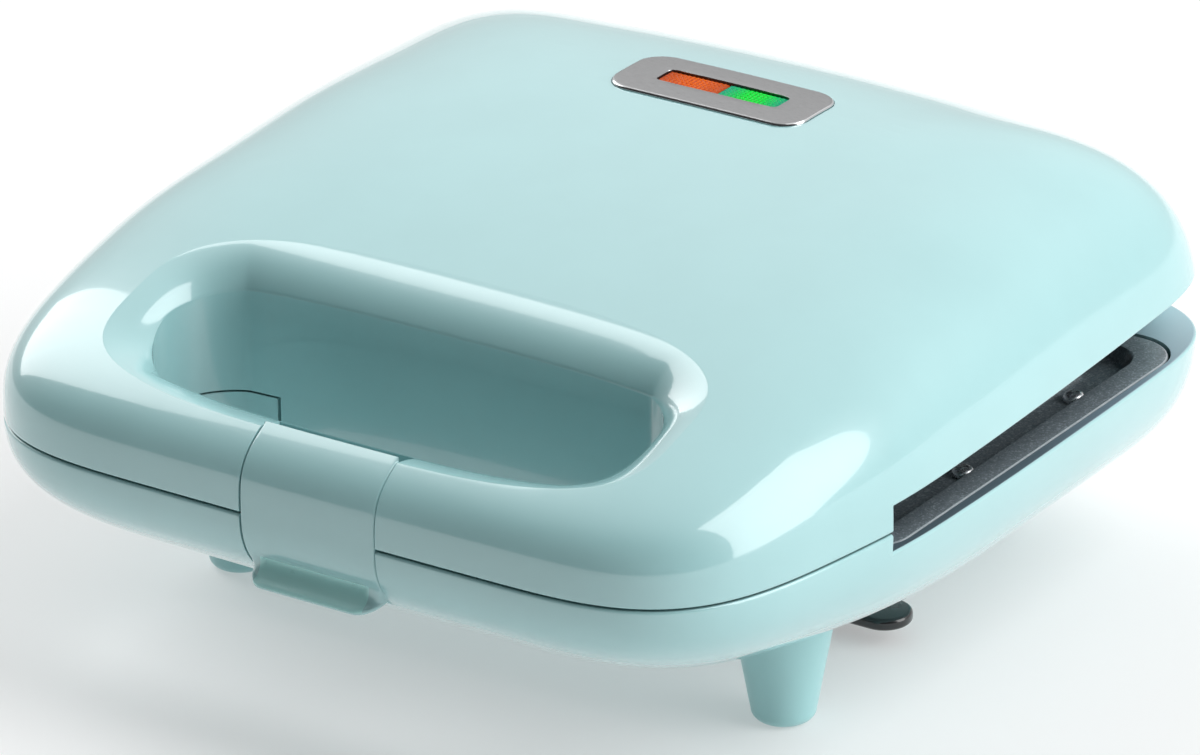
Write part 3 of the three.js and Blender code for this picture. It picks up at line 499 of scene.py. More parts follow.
def below_lid(extra=0.0, push=0.0):
    low = PARTING_Z + PARTING_GAP / 2 + extra
    return prism_x([(-FAR, 0), (FAR, 0), (FAR, lid_rim(FAR) + extra), (SLOT_Y - push, lid_rim(SLOT_Y - push) + extra),
                    (SLOT_Y - push, low), (-FAR, low)], -FAR, FAR)


def dome(name, surface, inset, levels, sign, sides=120):
    t = np.arange(sides) / sides * 2 * math.pi
    rr = radius(np.arctan2(np.sin(t), np.abs(np.cos(t)))) - inset
    out = []
    for s in levels:
        x, y = rr * s * np.cos(t), CENTRE_Y + rr * s * np.sin(t)
        z = np.full(sides, PARTING_Z) if s == 1 else surface(x, y, inset)
        out.append(np.stack([x, y, z], 1))
    return loft(name, out)


def hole_prism(grow, z0, z1):
    x, y = wall_at(grow)
    return prism(list(zip(x[::3], y[::3])), z0, z1)


cavity = dome("cavity", lid_z, WALL, (1, 0.998, 0.99, 0.975, 0.95, 0.91, 0.85, 0.76, 0.62, 0.42, 0.2), 1)
x, y = wall_at(WALL)
lip_keep = [np.stack([x, y, np.full(N, -10.0)], 1)[::3], np.stack([x, y, crest_z - drop_z - 2 * WALL], 1)[::3]]
for q in range(7):
    run, rise = lip_arc(q / 6)
    x, y = lip_at(run, WALL)
    lip_keep.append(np.stack([x, y, crest_z - drop_z * (1 - rise) - WALL], 1)[::3])
lip_keep.append(np.stack([x, y, np.full(N, 125.0)], 1)[::3])
tube = loft("lip", lip_keep)
cut(cavity, below_lid(DECK, DECK), tube)

wall_rear = float(wall_at(WALL)[1].max())
ring_o = hole_prism(WALL, SKIRT_Z, PARTING_Z + 2)
cut(ring_o, hole_prism(0, SKIRT_Z - 5, PARTING_Z + 8))
keep_in(ring_o, box(-SKIRT_X, SKIRT_X, HOLE_Y + 8, wall_rear + 1, SKIRT_Z, PARTING_Z + 1.5))

cut(lid, cavity, below_lid())
join(lid, ring_o)


def latch_bay(g, x_half):
    return prism_x([(-130, 38), (-104.6, 38), (-104.6, 62), (-98.6 + g, 64.5), (-98.6 + g, 90), (-130, 90)], -x_half, x_half)


low = PARTING_Z + PARTING_GAP / 2
ear = prism_x([(-113.5, low), (-104.0, low), (-104.0, 74.9), (-106.4, 75.4), (-106.4, 80), (-113.5, 80)], -21.9, 21.9)
bulk = prism_x([(-105.2, PARTING_Z + PARTING_GAP / 2), (-102.2, PARTING_Z + PARTING_GAP / 2), (-102.2, 60.4), (-98, 62.4),
                (-98, 67), (-105.2, 67)], -21.9, 21.9)
join(ear, bulk)
keep_in(ear, dome("trim", lid_z, 0.6, (1, 0.998, 0.99, 0.975, 0.95, 0.91, 0.85, 0.76, 0.62, 0.42, 0.2), 1))
cut(ear, hole_prism(WALL / 2, 0, 75))
join(lid, ear)
cut(lid, latch_bay(0.0, LATCH_HALF + LATCH_SIDE_GAP))


def label_loop(g, n=12):
    return rounded(-LABEL_X - g, LABEL_X + g, LABEL_Y0 - g, LABEL_Y1 + g, LABEL_R + g, n)


def slab(name, loop, low, high, rows=6):
    p = np.array(loop)
    c = p.mean(0)
    out = []
    for i in range(1, rows + 1):
        q = c + (p - c) * i / rows
        out.append(np.stack([q[:, 0], q[:, 1], low(q[:, 0], q[:, 1])], 1))
    for i in range(rows, 0, -1):
        q = c + (p - c) * i / rows
        out.append(np.stack([q[:, 0], q[:, 1], high(q[:, 0], q[:, 1])], 1))
    return loft(name, out)


cut(lid, slab("pocket", label_loop(0.22), lambda x, y: lid_z(x, y) - LABEL_DEEP - 0.25, lambda x, y: lid_z(x, y) + 6))
cut(lid, prism(rounded(-WINDOW_X - 1.2, WINDOW_X + 1.2, WINDOW_Y0 - 1.2, WINDOW_Y1 + 1.2, 2, 4), 80, 115))
cut(lid, keep_in(prism(plate_loop(-PLATE_FIT), 50, 90), below_lid(DECK + 0.4, 0)))
for s in (-1, 1):
    a, b = sorted((s * KNUCKLE[0], s * KNUCKLE[1]))
    k = rod_x("knuckle", [(BARREL_R - 0.5, a), (BARREL_R, a + 0.5), (BARREL_R, b - 0.5), (BARREL_R - 0.5, b)], HINGE_Y, HINGE_Z, 48)
    web = prism_x([(HINGE_Y - 6.0, HINGE_Z + 0.5), (HINGE_Y + 1.5, HINGE_Z + 5.4), (HINGE_Y + 1.5, lid_rim(HINGE_Y) + 1.8),
                   (HINGE_Y - 9.5, lid_rim(HINGE_Y) + 1.8), (HINGE_Y - 8.5, lid_rim(HINGE_Y) - 1)], a, b)
    join(k, web)
    cut(k, rod_x("bore", [(HINGE_PIN_R + 0.3, s * 30), (HINGE_PIN_R + 0.3, s * 54)], HINGE_Y, HINGE_Z, 32))
    join(lid, k)
smooth(lid, 34)

# base blank: down the wall of the finger hole, out over the belly, up to the rounded rim
rings = [np.stack([wx, wy, np.full(N, 75.0)], 1), np.stack([wx, wy, np.full(N, 60.0)], 1)]
R_LOW = 2.4
bx, by = wall_at(0)
belly_in = base_z(*wall_at(R_LOW))
rings.append(np.stack([bx, by, np.full(N, 45.0)], 1))
for q in range(0, 7):
    b = q / 6 * math.pi / 2
    x, y = wall_at(R_LOW * (1 - math.cos(b)))
    rings.append(np.stack([x, y, belly_in + R_LOW * (1 - math.sin(b))], 1))
x0, y0 = wall_at(R_LOW)
rings += annulus(base_z, x0, y0, 40)
rings += profile_rows(base_z, base_top, -1, 0.7, 24)
rings.append(np.stack([rings[-1][:, 0], rings[-1][:, 1], np.full(N, 75.0)], 1))
base = torus("base_shell_fine", rings)


def above_base(extra=0.0, push=0.0):
    high = PARTING_Z - PARTING_GAP / 2 - extra
    return prism_x([(-FAR, 150), (-FAR, high), (SLOT_Y - push, high), (SLOT_Y - push, BASE_RIM_Z - extra),
                    (FAR, BASE_RIM_Z - extra), (FAR, 150)], -FAR, FAR)


def skirt_room(g):
    b = box(-SKIRT_X - 0.9 - g, SKIRT_X + 0.9 + g, HOLE_Y + 7, wall_rear + 1.2 + g, 43.4 - g, 82)
    return keep_in(b, hole_prism(WALL + 1.2 + g, -10, 120))


cavity = dome("cavity", base_z, WALL, (1, 0.997, 0.985, 0.96, 0.92, 0.86, 0.77, 0.64, 0.45, 0.22), -1)
cut(cavity, above_base(DECK, DECK), hole_prism(WALL, -10, 120), skirt_room(2.4))
cut(base, cavity)
bay_x = LATCH_HALF + LATCH_SIDE_GAP
back_wall = box(-bay_x - 2.3, bay_x + 2.3, -112.5, -105.8, 30, PARTING_Z - PARTING_GAP / 2)
keep_in(back_wall, dome("trim", base_z, 0.8, (1, 0.997, 0.985, 0.96, 0.92, 0.86, 0.77, 0.64, 0.45, 0.22), -1))
join(base, back_wall)
cut(base, above_base(), skirt_room(0))
cut(base, prism(plate_loop(-PLATE_FIT), LOWER_FLANGE_Z - 2.9, 70))
cut(base, box(-bay_x, bay_x, -130, -108.4, 33, 70))
join(base, box(-8, 8, -110.9, -108, 47.6, 50.6))


def barrel(x0, x1):
    k = rod_x("barrel", [(BARREL_R - 0.6, x0), (BARREL_R, x0 + 0.6), (BARREL_R, x1 - 0.6), (BARREL_R - 0.6, x1)], HINGE_Y, HINGE_Z, 48)
    web = prism_x([(HINGE_Y - 5.9, HINGE_Z), (HINGE_Y - 8.6, BASE_RIM_Z - 1), (HINGE_Y + 1.0, BASE_RIM_Z - 6),
                   (HINGE_Y + 5.4, HINGE_Z - 2.4)], x0 + 0.3, x1 - 0.3)
    return join(k, web)


for a, b in ((-BARREL_END, -KNUCKLE[1] - 1.2), (-KNUCKLE[0] + 1.2, KNUCKLE[0] - 1.2), (KNUCKLE[1] + 1.2, BARREL_END)):
    join(base, barrel(a, b))
for s in (-1, 1):
    cut(base, rod_x("bore", [(HINGE_PIN_R + 0.3, s * 26.5), (HINGE_PIN_R + 0.3, s * 57.5)], HINGE_Y, HINGE_Z, 32))
    for fx_, y in zip(FOOT_X, FOOT_Y):
        cut(base, turned("tool", [(0, 10), (4.3, 10), (4.3, 40), (0, 40)], s * fx_, y, 24))
    cut(base, turned("tool", [(0, 10), (2.8, 10), (2.8, 40), (0, 40)], s * 56, CLEAT_Y, 24))
a = np.arange(48) / 48 * 2 * math.pi
cut(base, loft("tool", [np.stack([6.3 * np.cos(a), np.full(48, y), 40 + 6.3 * np.sin(a)], 1) for y in (90.0, 130.0)]))
smooth(base, 34)

# ------------------------------------------------------------------ latch
front_x, front_y = fx[(fine_t < 0)], fy[(fine_t < 0)]
order = np.argsort(front_x)
front_x, front_y = front_x[order], front_y[order]


def front_of(s, x=0.0):
    y1 = np.interp(x / s, front_x, front_y)
    return CENTRE_Y - (CENTRE_Y - y1) * s


def surface_s(s_list, x, surf):
    out = []
    for s in s_list:
        y = float(front_of(s, x))
        out.append((y, float(surf(x, y))))
    return out


def base_front(want, x=0.0):
    a, b = 0.9, 1.0
    for _ in range(40):
        mid = (a + b) / 2
        if base_z(x, front_of(mid, x)) < want:
            a = mid
        else:
            b = mid
    return float(front_of((a + b) / 2, x))


def latch_section(x, lip):
    """Outline of the latch at one x, as (y, z); lip is not used."""
    top = surface_s([0.9155, 0.921, 0.927, 0.933, 0.939, 0.945, 0.951, 0.957, 0.963, 0.969, 0.975, 0.980, 0.985, 0.989, 0.9925, 0.9953,
                     0.9974, 0.9988, 0.9996, 0.9999], x, lid_z)
    top.append((float(front_of(1.0, x)) + 0.01, PARTING_Z))
    low = [(base_front(z, x), z) for z in (57.2, 56.0, 54.6, 53.2, 51.8, 50.4, 49.2, 48.2)]
    ax = abs(x)
    hollow = min(max((14.8 - ax) / 1.5, 0), 1)
    hollow = hollow * hollow * (3 - 2 * hollow)
    out = min(max((ax - 12.4) / 5.4, 0), 1)
    out = max(1 - out ** 2.0, 0) ** 0.6
    y0 = base_front(47.4, x)
    scooped = [(y0, 47.4), (y0 + 0.35, 47.2), (y0 + 0.75, 46.85), (y0 + 0.7, 46.2), (y0 + 0.15, 45.2), (y0 - 0.75, 44.2), (y0 - 1.75, 43.45)]
    full = [(y0, 47.4), (y0 + 0.05, 46.8), (y0 + 0.02, 46.1), (y0 - 0.15, 45.3), (y0 - 0.55, 44.5), (y0 - 1.15, 43.8), (y0 - 1.75, 43.35)]
    plain = [(base_front(z, x), z) for z in (47.4, 46.85, 46.25, 45.6, 44.95, 44.4, 43.95)]
    scoop = [tuple(out * (hollow * p[k] + (1 - hollow) * q[k]) + (1 - out) * r[k] for k in (0, 1)) for p, q, r in zip(scooped, full, plain)]
    yb = base_front(43.95, x)
    tip_out = [(-114.9, 43.0), (-115.6, 42.75), (-116.05, 42.35), (-116.2, 41.85), (-116.05, 41.4), (-115.5, 41.1), (-114.4, 40.9), (-112.9, 40.75),
               (-110.9, 41.2), (-110.5, 42.3), (-110.3, 43.6)]
    y1 = min(yb + 1.2, -108.95)
    tip_in = [(yb + 0.12, 43.75), (yb + 0.25, 43.6), (yb + 0.38, 43.52), (yb + 0.5, 43.48), (yb + 0.62, 43.46), (yb + 0.74, 43.46), (yb + 0.86, 43.5),
              (yb + 0.96, 43.56), (yb + 1.05, 43.66), (y1 - 0.04, 43.8), (y1, 43.95)]
    tip = [tuple(out * p[k] + (1 - out) * q[k] for k in (0, 1)) for p, q in zip(tip_out, tip_in)]
    hook = [(-108.9, 44.2), (-108.9, 47.0), (-111.3, 47.0)]
    inner = [(-111.9, 48.2), (-112.2, 52), (-112.35, 56), (-112.2, 61), (-111.6, 64.2), (-110.9, 66.4)]
    hub = [(PIVOT_Y + 3.9 * math.cos(math.radians(a)), PIVOT_Z + 3.9 * math.sin(math.radians(a))) for a in range(215, 355, 14)]
    tz = float(lid_z(x, LATCH_TOP_Y - 4)) - 1.6
    flap = [(PIVOT_Y + 3.9, tz - 2.8), (LATCH_TOP_Y - 0.1, tz - 2.1), (LATCH_TOP_Y, tz - 1.4), (LATCH_TOP_Y - 0.05, tz - 0.8),
            (LATCH_TOP_Y - 0.35, tz - 0.1), (LATCH_TOP_Y - 0.9, tz + 0.55)]
    return top + low + scoop + tip + hook + inner + hub + flap


def inset_loop(loop, d):
    p = np.array(loop)
    a, b = np.roll(p, 1, 0), np.roll(p, -1, 0)
    t = b - a
    t /= np.hypot(t[:, 0], t[:, 1])[:, None] + 1e-12
    area = 0.5 * np.sum(p[:, 0] * b[:, 1] - b[:, 0] * p[:, 1])
    n = np.stack([-t[:, 1], t[:, 0]], 1) * (1 if area > 0 else -1)
    return p + n * d


rings = []
R_SIDE = 0.5
xs = []
for q in range(0, 6):
    b = q / 5 * math.pi / 2
    xs.append((LATCH_HALF - R_SIDE + R_SIDE * math.cos(b) if q else LATCH_HALF, R_SIDE * math.sin(b)))
ends = [(LATCH_HALF - R_SIDE * (1 - math.sin(b)), R_SIDE * (1 - math.cos(b))) for b in (math.pi / 2 * k / 5 for k in range(5, -1, -1))]
# ends: from the flat side (inset R_SIDE) round to the full section
ends = [(LATCH_HALF - R_SIDE + R_SIDE * math.sin(b), R_SIDE * (1 - math.cos(math.pi / 2 - b)) * 0 + R_SIDE * (1 - math.cos(b)))
        for b in (math.pi / 2 * k / 5 for k in range(5, -1, -1))]
for x, d in ends:
    loop = inset_loop(latch_section(x, 1), d)
    rings.append(np.array([(x, y, z) for y, z in loop]))
side_x = [17.4, 17.0, 16.6, 16.2, 15.8, 15.4, 15.1, 14.8, 14.6, 14.4, 14.2, 14.0, 13.8, 13.6, 13.4, 13.2, 12.8, 12.2, 11, 9, 6, 3]
for x in side_x + [0.0] + [-v_ for v_ in side_x[::-1]]:
    rings.append(np.array([(x, y, z) for y, z in latch_section(x, 1)]))
for x, d in ends[::-1]:
    loop = inset_loop(latch_section(-x, 1), d)
    rings.append(np.array([(-x, y, z) for y, z in loop]))
n = len(rings[0])
verts = np.concatenate(rings)
faces = grid_faces(len(rings), n)
faces.append(tuple(range(n))[::-1])
faces.append(tuple(range((len(rings) - 1) * n, len(rings) * n)))
latch = new_object("latch_fine", verts, faces)
fix_winding(latch)
cut(latch, rod_x("bore", [(1.9, -30), (1.9, 30)], PIVOT_Y, PIVOT_Z, 24))
smooth(latch, 34)

# ------------------------------------------------------------------ cooking plates


def plate_body(name, rows, flip=False):
    rings = [np.array([(x, y, zz(x, y) if callable(zz) else zz) for x, y in plate_loop(d)]) for d, zz in rows]
    return loft(name, rings)


def rib_loop(x, w0, w1, z0, z1, r=0.55):
    """Rounded rib section as (x, z)."""
    pts = [(x - w0, z0), (x + w0, z0)]
    for a in range(0, 91, 18):
        b = math.radians(a)
        pts.append((x + w1 - r + r * math.cos(b), z1 - (r - r * math.sin(b)) * (1 if z1 > z0 else -1)))
    for a in range(90, 181, 18):
        b = math.radians(a)
        pts.append((x - w1 + r + r * math.cos(b), z1 - (r - r * math.sin(b)) * (1 if z1 > z0 else -1)))
    return pts


def rib(x, z0, z1, y0, y1, name="rib"):
    sec = rib_loop(x, 2.6, 1.5, z0, z1)
    c = np.array(sec).mean(0)
    rings = []
    for y, f in ((y0, 0.0), (y0 + 0.4, 0.55), (y0 + 1.2, 0.85), (y0 + 2.4, 1.0), (y1 - 2.4, 1.0), (y1 - 1.2, 0.85), (y1 - 0.4, 0.55), (y1, 0.0)):
        rings.append(np.array([(x + (px - x) * (0.55 + 0.45 * f), y, z0 + (pz - z0) * max(f, 0.02)) for px, pz in sec]))
    return loft(name, rings)


def screw_holes(ob, z0, z1):
    for s in (-1, 1):
        for y in SCREW_Y:
            cut(ob, turned("tool", [(0, z0), (1.9, z0), (1.9, z1), (0, z1)], s * SCREW_X, y, 24))


F, T = FLANGE, FLANGE + TROUGH
lo_z = [(20.7, 46.6), (4.2, 45.7), (3.4, 46.4), (3.4, 50.0), (2.9, 50.5), (0.4, 50.55), (0.02, 50.9), (0.0, 52.5), (0.12, 52.85), (0.42, 53.05),
        (0.9, 53.1), (F - 0.7, 53.1), (F - 0.25, 53.0), (F, 52.65), (F + 0.9, 49.7), (F + 1.25, 49.1), (F + 1.9, 48.82), (F + 2.8, 48.8),
        (T - 2.6, 48.8), (T - 1.7, 48.86), (T - 1.1, 49.2), (T - 0.8, 49.8), (T - 0.1, 52.6), (T + 0.2, 53.15), (T + 0.8, 53.38),
        (T + 1.6, 53.4), (T + 6, 53.4), (T + 16, 53.4), (T + 34, 53.4)]
lower = plate_body("lower_plate_fine", [(d, z) for d, z in lo_z])
cut(lower, prism(plate_loop(T + 3.2), 40, LOWER_TOP_Z - 3.2))
for i in range(RIB_COUNT):
    x = (i - (RIB_COUNT - 1) / 2) * RIB_PITCH
    join(lower, rib(x, LOWER_TOP_Z - 0.3, LOWER_TOP_Z + RIB_H, PLATE_Y0 + T + 5, PLATE_Y1 - T - 5))
screw_holes(lower, 40, 60)
smooth(lower, 38)


def up_z(h):
    return lambda x, y: lid_rim(y) + h


hi_rows = [(20.7, up_z(7.0)), (5.4, up_z(7.3)), (4.6, up_z(6.6)), (4.6, up_z(2.8)), (4.0, up_z(2.3)), (0.4, up_z(2.25)), (0.02, up_z(1.9)),
           (0.0, up_z(0.3)), (0.12, up_z(-0.05)), (0.42, up_z(-0.25)), (0.9, up_z(-0.3)), (F - 0.7, up_z(-0.3)), (F - 0.25, up_z(-0.2)),
           (F, up_z(0.15)), (F + 0.9, up_z(3.3)), (F + 1.25, up_z(3.9)), (F + 1.9, up_z(4.18)), (F + 2.8, up_z(4.2)), (T - 2.6, up_z(4.2)),
           (T - 1.7, up_z(4.14)), (T - 1.1, up_z(3.8)), (T - 0.8, up_z(3.2)), (T - 0.1, 65.0), (T + 0.2, 64.45), (T + 0.8, 64.22),
           (T + 1.6, UPPER_BOTTOM_Z), (T + 6, UPPER_BOTTOM_Z), (T + 16, UPPER_BOTTOM_Z), (T + 34, UPPER_BOTTOM_Z)]
upper = plate_body("upper_plate_fine", hi_rows)
cut(upper, prism(plate_loop(T + 3.2), UPPER_BOTTOM_Z + 3.2, 100))
for i in range(RIB_COUNT):
    x = (i - (RIB_COUNT - 1) / 2) * RIB_PITCH
    join(upper, rib(x, UPPER_BOTTOM_Z + 0.3, UPPER_BOTTOM_Z - RIB_H, PLATE_Y0 + T + 5, PLATE_Y1 - T - 5))
screw_holes(upper, 50, 90)
smooth(upper, 38)

# ------------------------------------------------------------------ screws


def screw_piece(name, x, y, z, up_dir, length):
    prof = [(0, -length), (0.5, -length), (1.1, -length + 0.9), (1.35, -length + 1.4), (1.35, -0.02), (2.45, 0.0), (2.6, 0.12), (2.6, 0.75),
            (2.52, 1.1), (2.25, 1.55), (1.8, 1.9), (1.2, 2.12), (0.6, 2.19), (0, 2.2)]
    ob = turned(name, prof, 0, 0, 48)
    c = join(box(-1.35, 1.35, -0.33, 0.33, 1.15, 3.2), box(-0.33, 0.33, -1.35, 1.35, 1.15, 3.2))
    cut(ob, c)
    for v in ob.data.vertices:
        if up_dir < 0:
            v.co = Vector((v.co.x, -v.co.y, -v.co.z))
        a = math.radians(27)
        v.co = Vector((v.co.x * math.cos(a) - v.co.y * math.sin(a), v.co.x * math.sin(a) + v.co.y * math.cos(a), v.co.z))
        v.co += Vector((x, y, z)) * MM
    smooth(ob, 30)
    return ob


# ------------------------------------------------------------------ indicator plate and lenses
def ring_body(name, inner_loop, outer_loop, rows):
    """rows: (weight from inner to outer loop, height above the lid)."""
    p, q = np.array(inner_loop), np.array(outer_loop)
    return torus(name, [np.stack([(p + (q - p) * w)[:, 0], (p + (q - p) * w)[:, 1],
                                  lid_z((p + (q - p) * w)[:, 0], (p + (q - p) * w)[:, 1]) + h], 1) for w, h in rows])


def matched(x0, x1, y0, y1, r, count=176):
    """Rounded rectangle sampled along rays so that two loops match point for point."""
    cx, cy = 0.0, (LABEL_Y0 + LABEL_Y1) / 2
    dense = np.array(rounded(x0, x1, y0, y1, r, 24, per_side=60))
    ang2 = np.unwrap(np.arctan2(dense[:, 1] - cy, dense[:, 0] - cx))
    if ang2[-1] < ang2[0]:
        dense, ang2 = dense[::-1], ang2[::-1]
    want = matched_angles
    w = (want - ang2[0]) % (2 * math.pi) + ang2[0]
    xx = np.interp(w, np.append(ang2, ang2[0] + 2 * math.pi), np.append(dense[:, 0], dense[0, 0]))
    yy = np.interp(w, np.append(ang2, ang2[0] + 2 * math.pi), np.append(dense[:, 1], dense[0, 1]))
    return list(zip(xx, yy))


outer_dense = np.array(rounded(-LABEL_X, LABEL_X, LABEL_Y0, LABEL_Y1, LABEL_R, 16, per_side=26))
matched_angles = np.arctan2(outer_dense[:, 1] - (LABEL_Y0 + LABEL_Y1) / 2, outer_dense[:, 0])
lab_out = [tuple(v) for v in outer_dense]
lab_in = matched(-WINDOW_X, WINDOW_X, WINDOW_Y0, WINDOW_Y1, 1.7)
LW = [(0.0, -LABEL_DEEP), (0.0, LABEL_PROUD - 0.22), (0.012, LABEL_PROUD - 0.05), (0.03, LABEL_PROUD), (0.3, LABEL_PROUD), (0.6, LABEL_PROUD),
      (0.90, LABEL_PROUD), (0.945, LABEL_PROUD - 0.02), (0.975, LABEL_PROUD - 0.16), (0.993, LABEL_PROUD - 0.36), (1.0, LABEL_PROUD - 0.62), (1.0, -LABEL_DEEP)]
label = ring_body("indicator_plate_fine", lab_in, lab_out, LW)
smooth(label, 30)


def lens_piece(name, x0, x1):
    """Lens with a fine diamond pattern moulded in its face."""
    nx_, ny_ = int((x1 - x0) / 0.21), int((WINDOW_Y1 - WINDOW_Y0 - 0.5) / 0.21)
    X = np.linspace(x0, x1, nx_)
    Y = np.linspace(WINDOW_Y0 + 0.25, WINDOW_Y1 - 0.25, ny_)
    gx_, gy_ = np.meshgrid(X, Y)
    edge = np.minimum(np.minimum(gx_ - x0, x1 - gx_), np.minimum(gy_ - Y[0], Y[-1] - gy_))
    pitch = 1.25
    u, v = (gx_ + gy_) / pitch, (gx_ - gy_) / pitch
    tri = lambda w: np.abs((w % 1.0) - 0.5) * 2
    pat = np.minimum(tri(u), tri(v)) * 0.34
    top = lid_z(gx_, gy_) + LABEL_PROUD - 0.62 + pat * np.clip(edge / 0.5, 0, 1) - 0.25 * (edge < 0.1)
    bot = lid_z(gx_, gy_) - 3.3
    vt = np.stack([gx_, gy_, top], 2).reshape(-1, 3)
    vb = np.stack([gx_, gy_, bot], 2).reshape(-1, 3)
    f = []
    idx = lambda r, c: r * nx_ + c
    off = len(vt)
    for r in range(ny_ - 1):
        for c in range(nx_ - 1):
            f.append((idx(r, c), idx(r, c + 1), idx(r + 1, c + 1), idx(r + 1, c)))
            f.append((off + idx(r, c), off + idx(r + 1, c), off + idx(r + 1, c + 1), off + idx(r, c + 1)))
    for c in range(nx_ - 1):
        f.append((idx(0, c), off + idx(0, c), off + idx(0, c + 1), idx(0, c + 1)))
        f.append((idx(ny_ - 1, c), idx(ny_ - 1, c + 1), off + idx(ny_ - 1, c + 1), off + idx(ny_ - 1, c)))
    for r in range(ny_ - 1):
        f.append((idx(r, 0), idx(r + 1, 0), off + idx(r + 1, 0), off + idx(r, 0)))
        f.append((idx(r, nx_ - 1), off + idx(r, nx_ - 1), off + idx(r + 1, nx_ - 1), idx(r + 1, nx_ - 1)))
    ob = new_object(name, np.vstack([vt, vb]), f)
    smooth(ob, 12)
    return ob


power = lens_piece("power_lens_fine", -WINDOW_X + 0.25, -0.18)
ready = lens_piece("ready_lens_fine", 0.18, WINDOW_X - 0.25)

# ------------------------------------------------------------------ feet, cleats, gland
feet = {}
for s in (-1, 1):
    for i, end in ((0, "front"), (1, "rear")):
        x, y = s * FOOT_X[i], FOOT_Y[i]
        fr = lambda z: FOOT_R + FOOT_TAPER * z
        prof = [(0, 0.25), (fr(0) - 4.6, 0.2), (fr(0) - 3.7, 0.0), (fr(0) - 2.9, 0.0)]
        for a in range(0, 91, 10):
            b = math.radians(a)
            prof.append((fr(2.6) - 2.9 + 2.9 * math.sin(b) - 0.0 + (0 if a < 90 else 0), 2.7 - 2.7 * math.cos(b)))
        prof += [(fr(5), 5), (fr(12), 12), (fr(20), 20), (fr(34), 34), (0, 34)]
        f = turned(f"foot_{end}_{'left' if s < 0 else 'right'}_fine", prof, x, y, 72)
        cut(f, dome("trim", base_z, -0.25, (1, 0.997, 0.985, 0.96, 0.92, 0.86, 0.77, 0.64, 0.45, 0.22), -1, 180))
        join(f, turned("spigot", [(0, 8), (3.98, 8), (3.98, 30.4), (0, 30.4)], x, y, 32))
        cut(f, turned("tool", [(0, 12), (1.5, 12), (1.5, 40), (0, 40)], x, y, 16))
        smooth(f, 34)
        feet[f"foot_{end}_{'left' if s < 0 else 'right'}"] = f

cleats = {}
for s in (-1, 1):
    side = "left" if s < 0 else "right"
    x0, tip = s * 56, s * (CLEAT_X - 0.5)

    def tongue(d):
        r = CLEAT_R - 0.45 - d
        pts = [(tip + s * r * math.cos(math.radians(a)), CLEAT_Y + r * math.sin(math.radians(a))) for a in range(-90, 91, 6)]
        pts += [(x0 - s * (6 - d) * 0.4, CLEAT_Y + r), (x0 - s * (6 - d), CLEAT_Y + r - 2.2 + d * 0.3), (x0 - s * (6 - d), CLEAT_Y - r + 2.2 - d * 0.3),
                (x0 - s * (6 - d) * 0.4, CLEAT_Y - r)]
        return pts
    rings = []
    z0, z1, re = CLEAT_Z[0], CLEAT_Z[1], 1.1
    for a in range(0, 91, 15):
        b = math.radians(a)
        rings.append(np.array([(px, py, z0 + re * (1 - math.sin(b))) for px, py in tongue(re * (1 - math.cos(b)))][::1]))
    rings = rings[::-1]
    for a in range(0, 91, 15):
        b = math.radians(a)
        rings.append(np.array([(px, py, z1 - re * (1 - math.sin(b))) for px, py in tongue(re * (1 - math.cos(b)))]))
    c = loft(f"cord_cleat_{side}_fine", rings)
    fix_winding(c)
    post_rings = []
    for z, g in ((CLEAT_Z[1] - 1.0, 0.9), (CLEAT_Z[1] + 0.5, 0.2), (CLEAT_Z[1] + 1.6, 0.0), (40, 0.0)):
        post_rings.append(np.array([(px, py, z) for px, py in rounded(x0 - 6 - g + 0.9, x0 + 6 + g - 0.9, CLEAT_Y - 6 - g + 0.9, CLEAT_Y + 6 + g - 0.9, 2.5, 6)]))
    post = loft("post", post_rings)
    cut(post, dome("trim", base_z, -0.25, (1, 0.997, 0.985, 0.96, 0.92, 0.86, 0.77, 0.64, 0.45, 0.22), -1, 180))
    join(c, post, turned("spigot", [(0, 12), (2.38, 12), (2.38, 29.8), (0, 29.8)], x0, CLEAT_Y, 24))
    smooth(c, 34)
    cleats[side] = c

gy_rear = CENTRE_Y + float(radius(math.pi / 2))
prof = [(3.6, gy_rear - 5.9), (5.85, gy_rear - 5.9), (5.85, gy_rear + 0.5), (7.3, gy_rear + 0.5), (7.58, gy_rear + 0.75), (7.58, gy_rear + 1.6),
        (7.3, gy_rear + 2.2), (6.8, gy_rear + 2.5), (4.3, gy_rear + 2.55), (3.8, gy_rear + 2.3), (3.6, gy_rear + 1.8)]
a = np.arange(56) / 56 * 2 * math.pi
gland = torus("cord_gland_fine", [np.stack([r * np.cos(a), np.full(56, y), 40 + r * np.sin(a)], 1) for r, y in prof])
smooth(gland, 30)


# ------------------------------------------------------------------ materials
def material(name, color, rough=0.3, metal=0.0, coat=0.0, coat_rough=0.03, ior=1.5, subsurface=0.0):
    mt = bpy.data.materials.new(name)
    mt.use_nodes = True
    b = mt.node_tree.nodes["Principled BSDF"]
    b.inputs["Base Color"].default_value = (*color, 1)
    b.inputs["Roughness"].default_value = rough
    b.inputs["Metallic"].default_value = metal
    b.inputs["Coat Weight"].default_value = coat
    b.inputs["Coat Roughness"].default_value = coat_rough
    b.inputs["IOR"].default_value = ior
    if subsurface:
        b.inputs["Subsurface Weight"].default_value = subsurface
        b.inputs["Subsurface Radius"].default_value = (0.004, 0.006, 0.006)
    return mt, mt.node_tree, b


def coords(nt):
    return nt.nodes.new("ShaderNodeTexCoord").outputs["Object"]


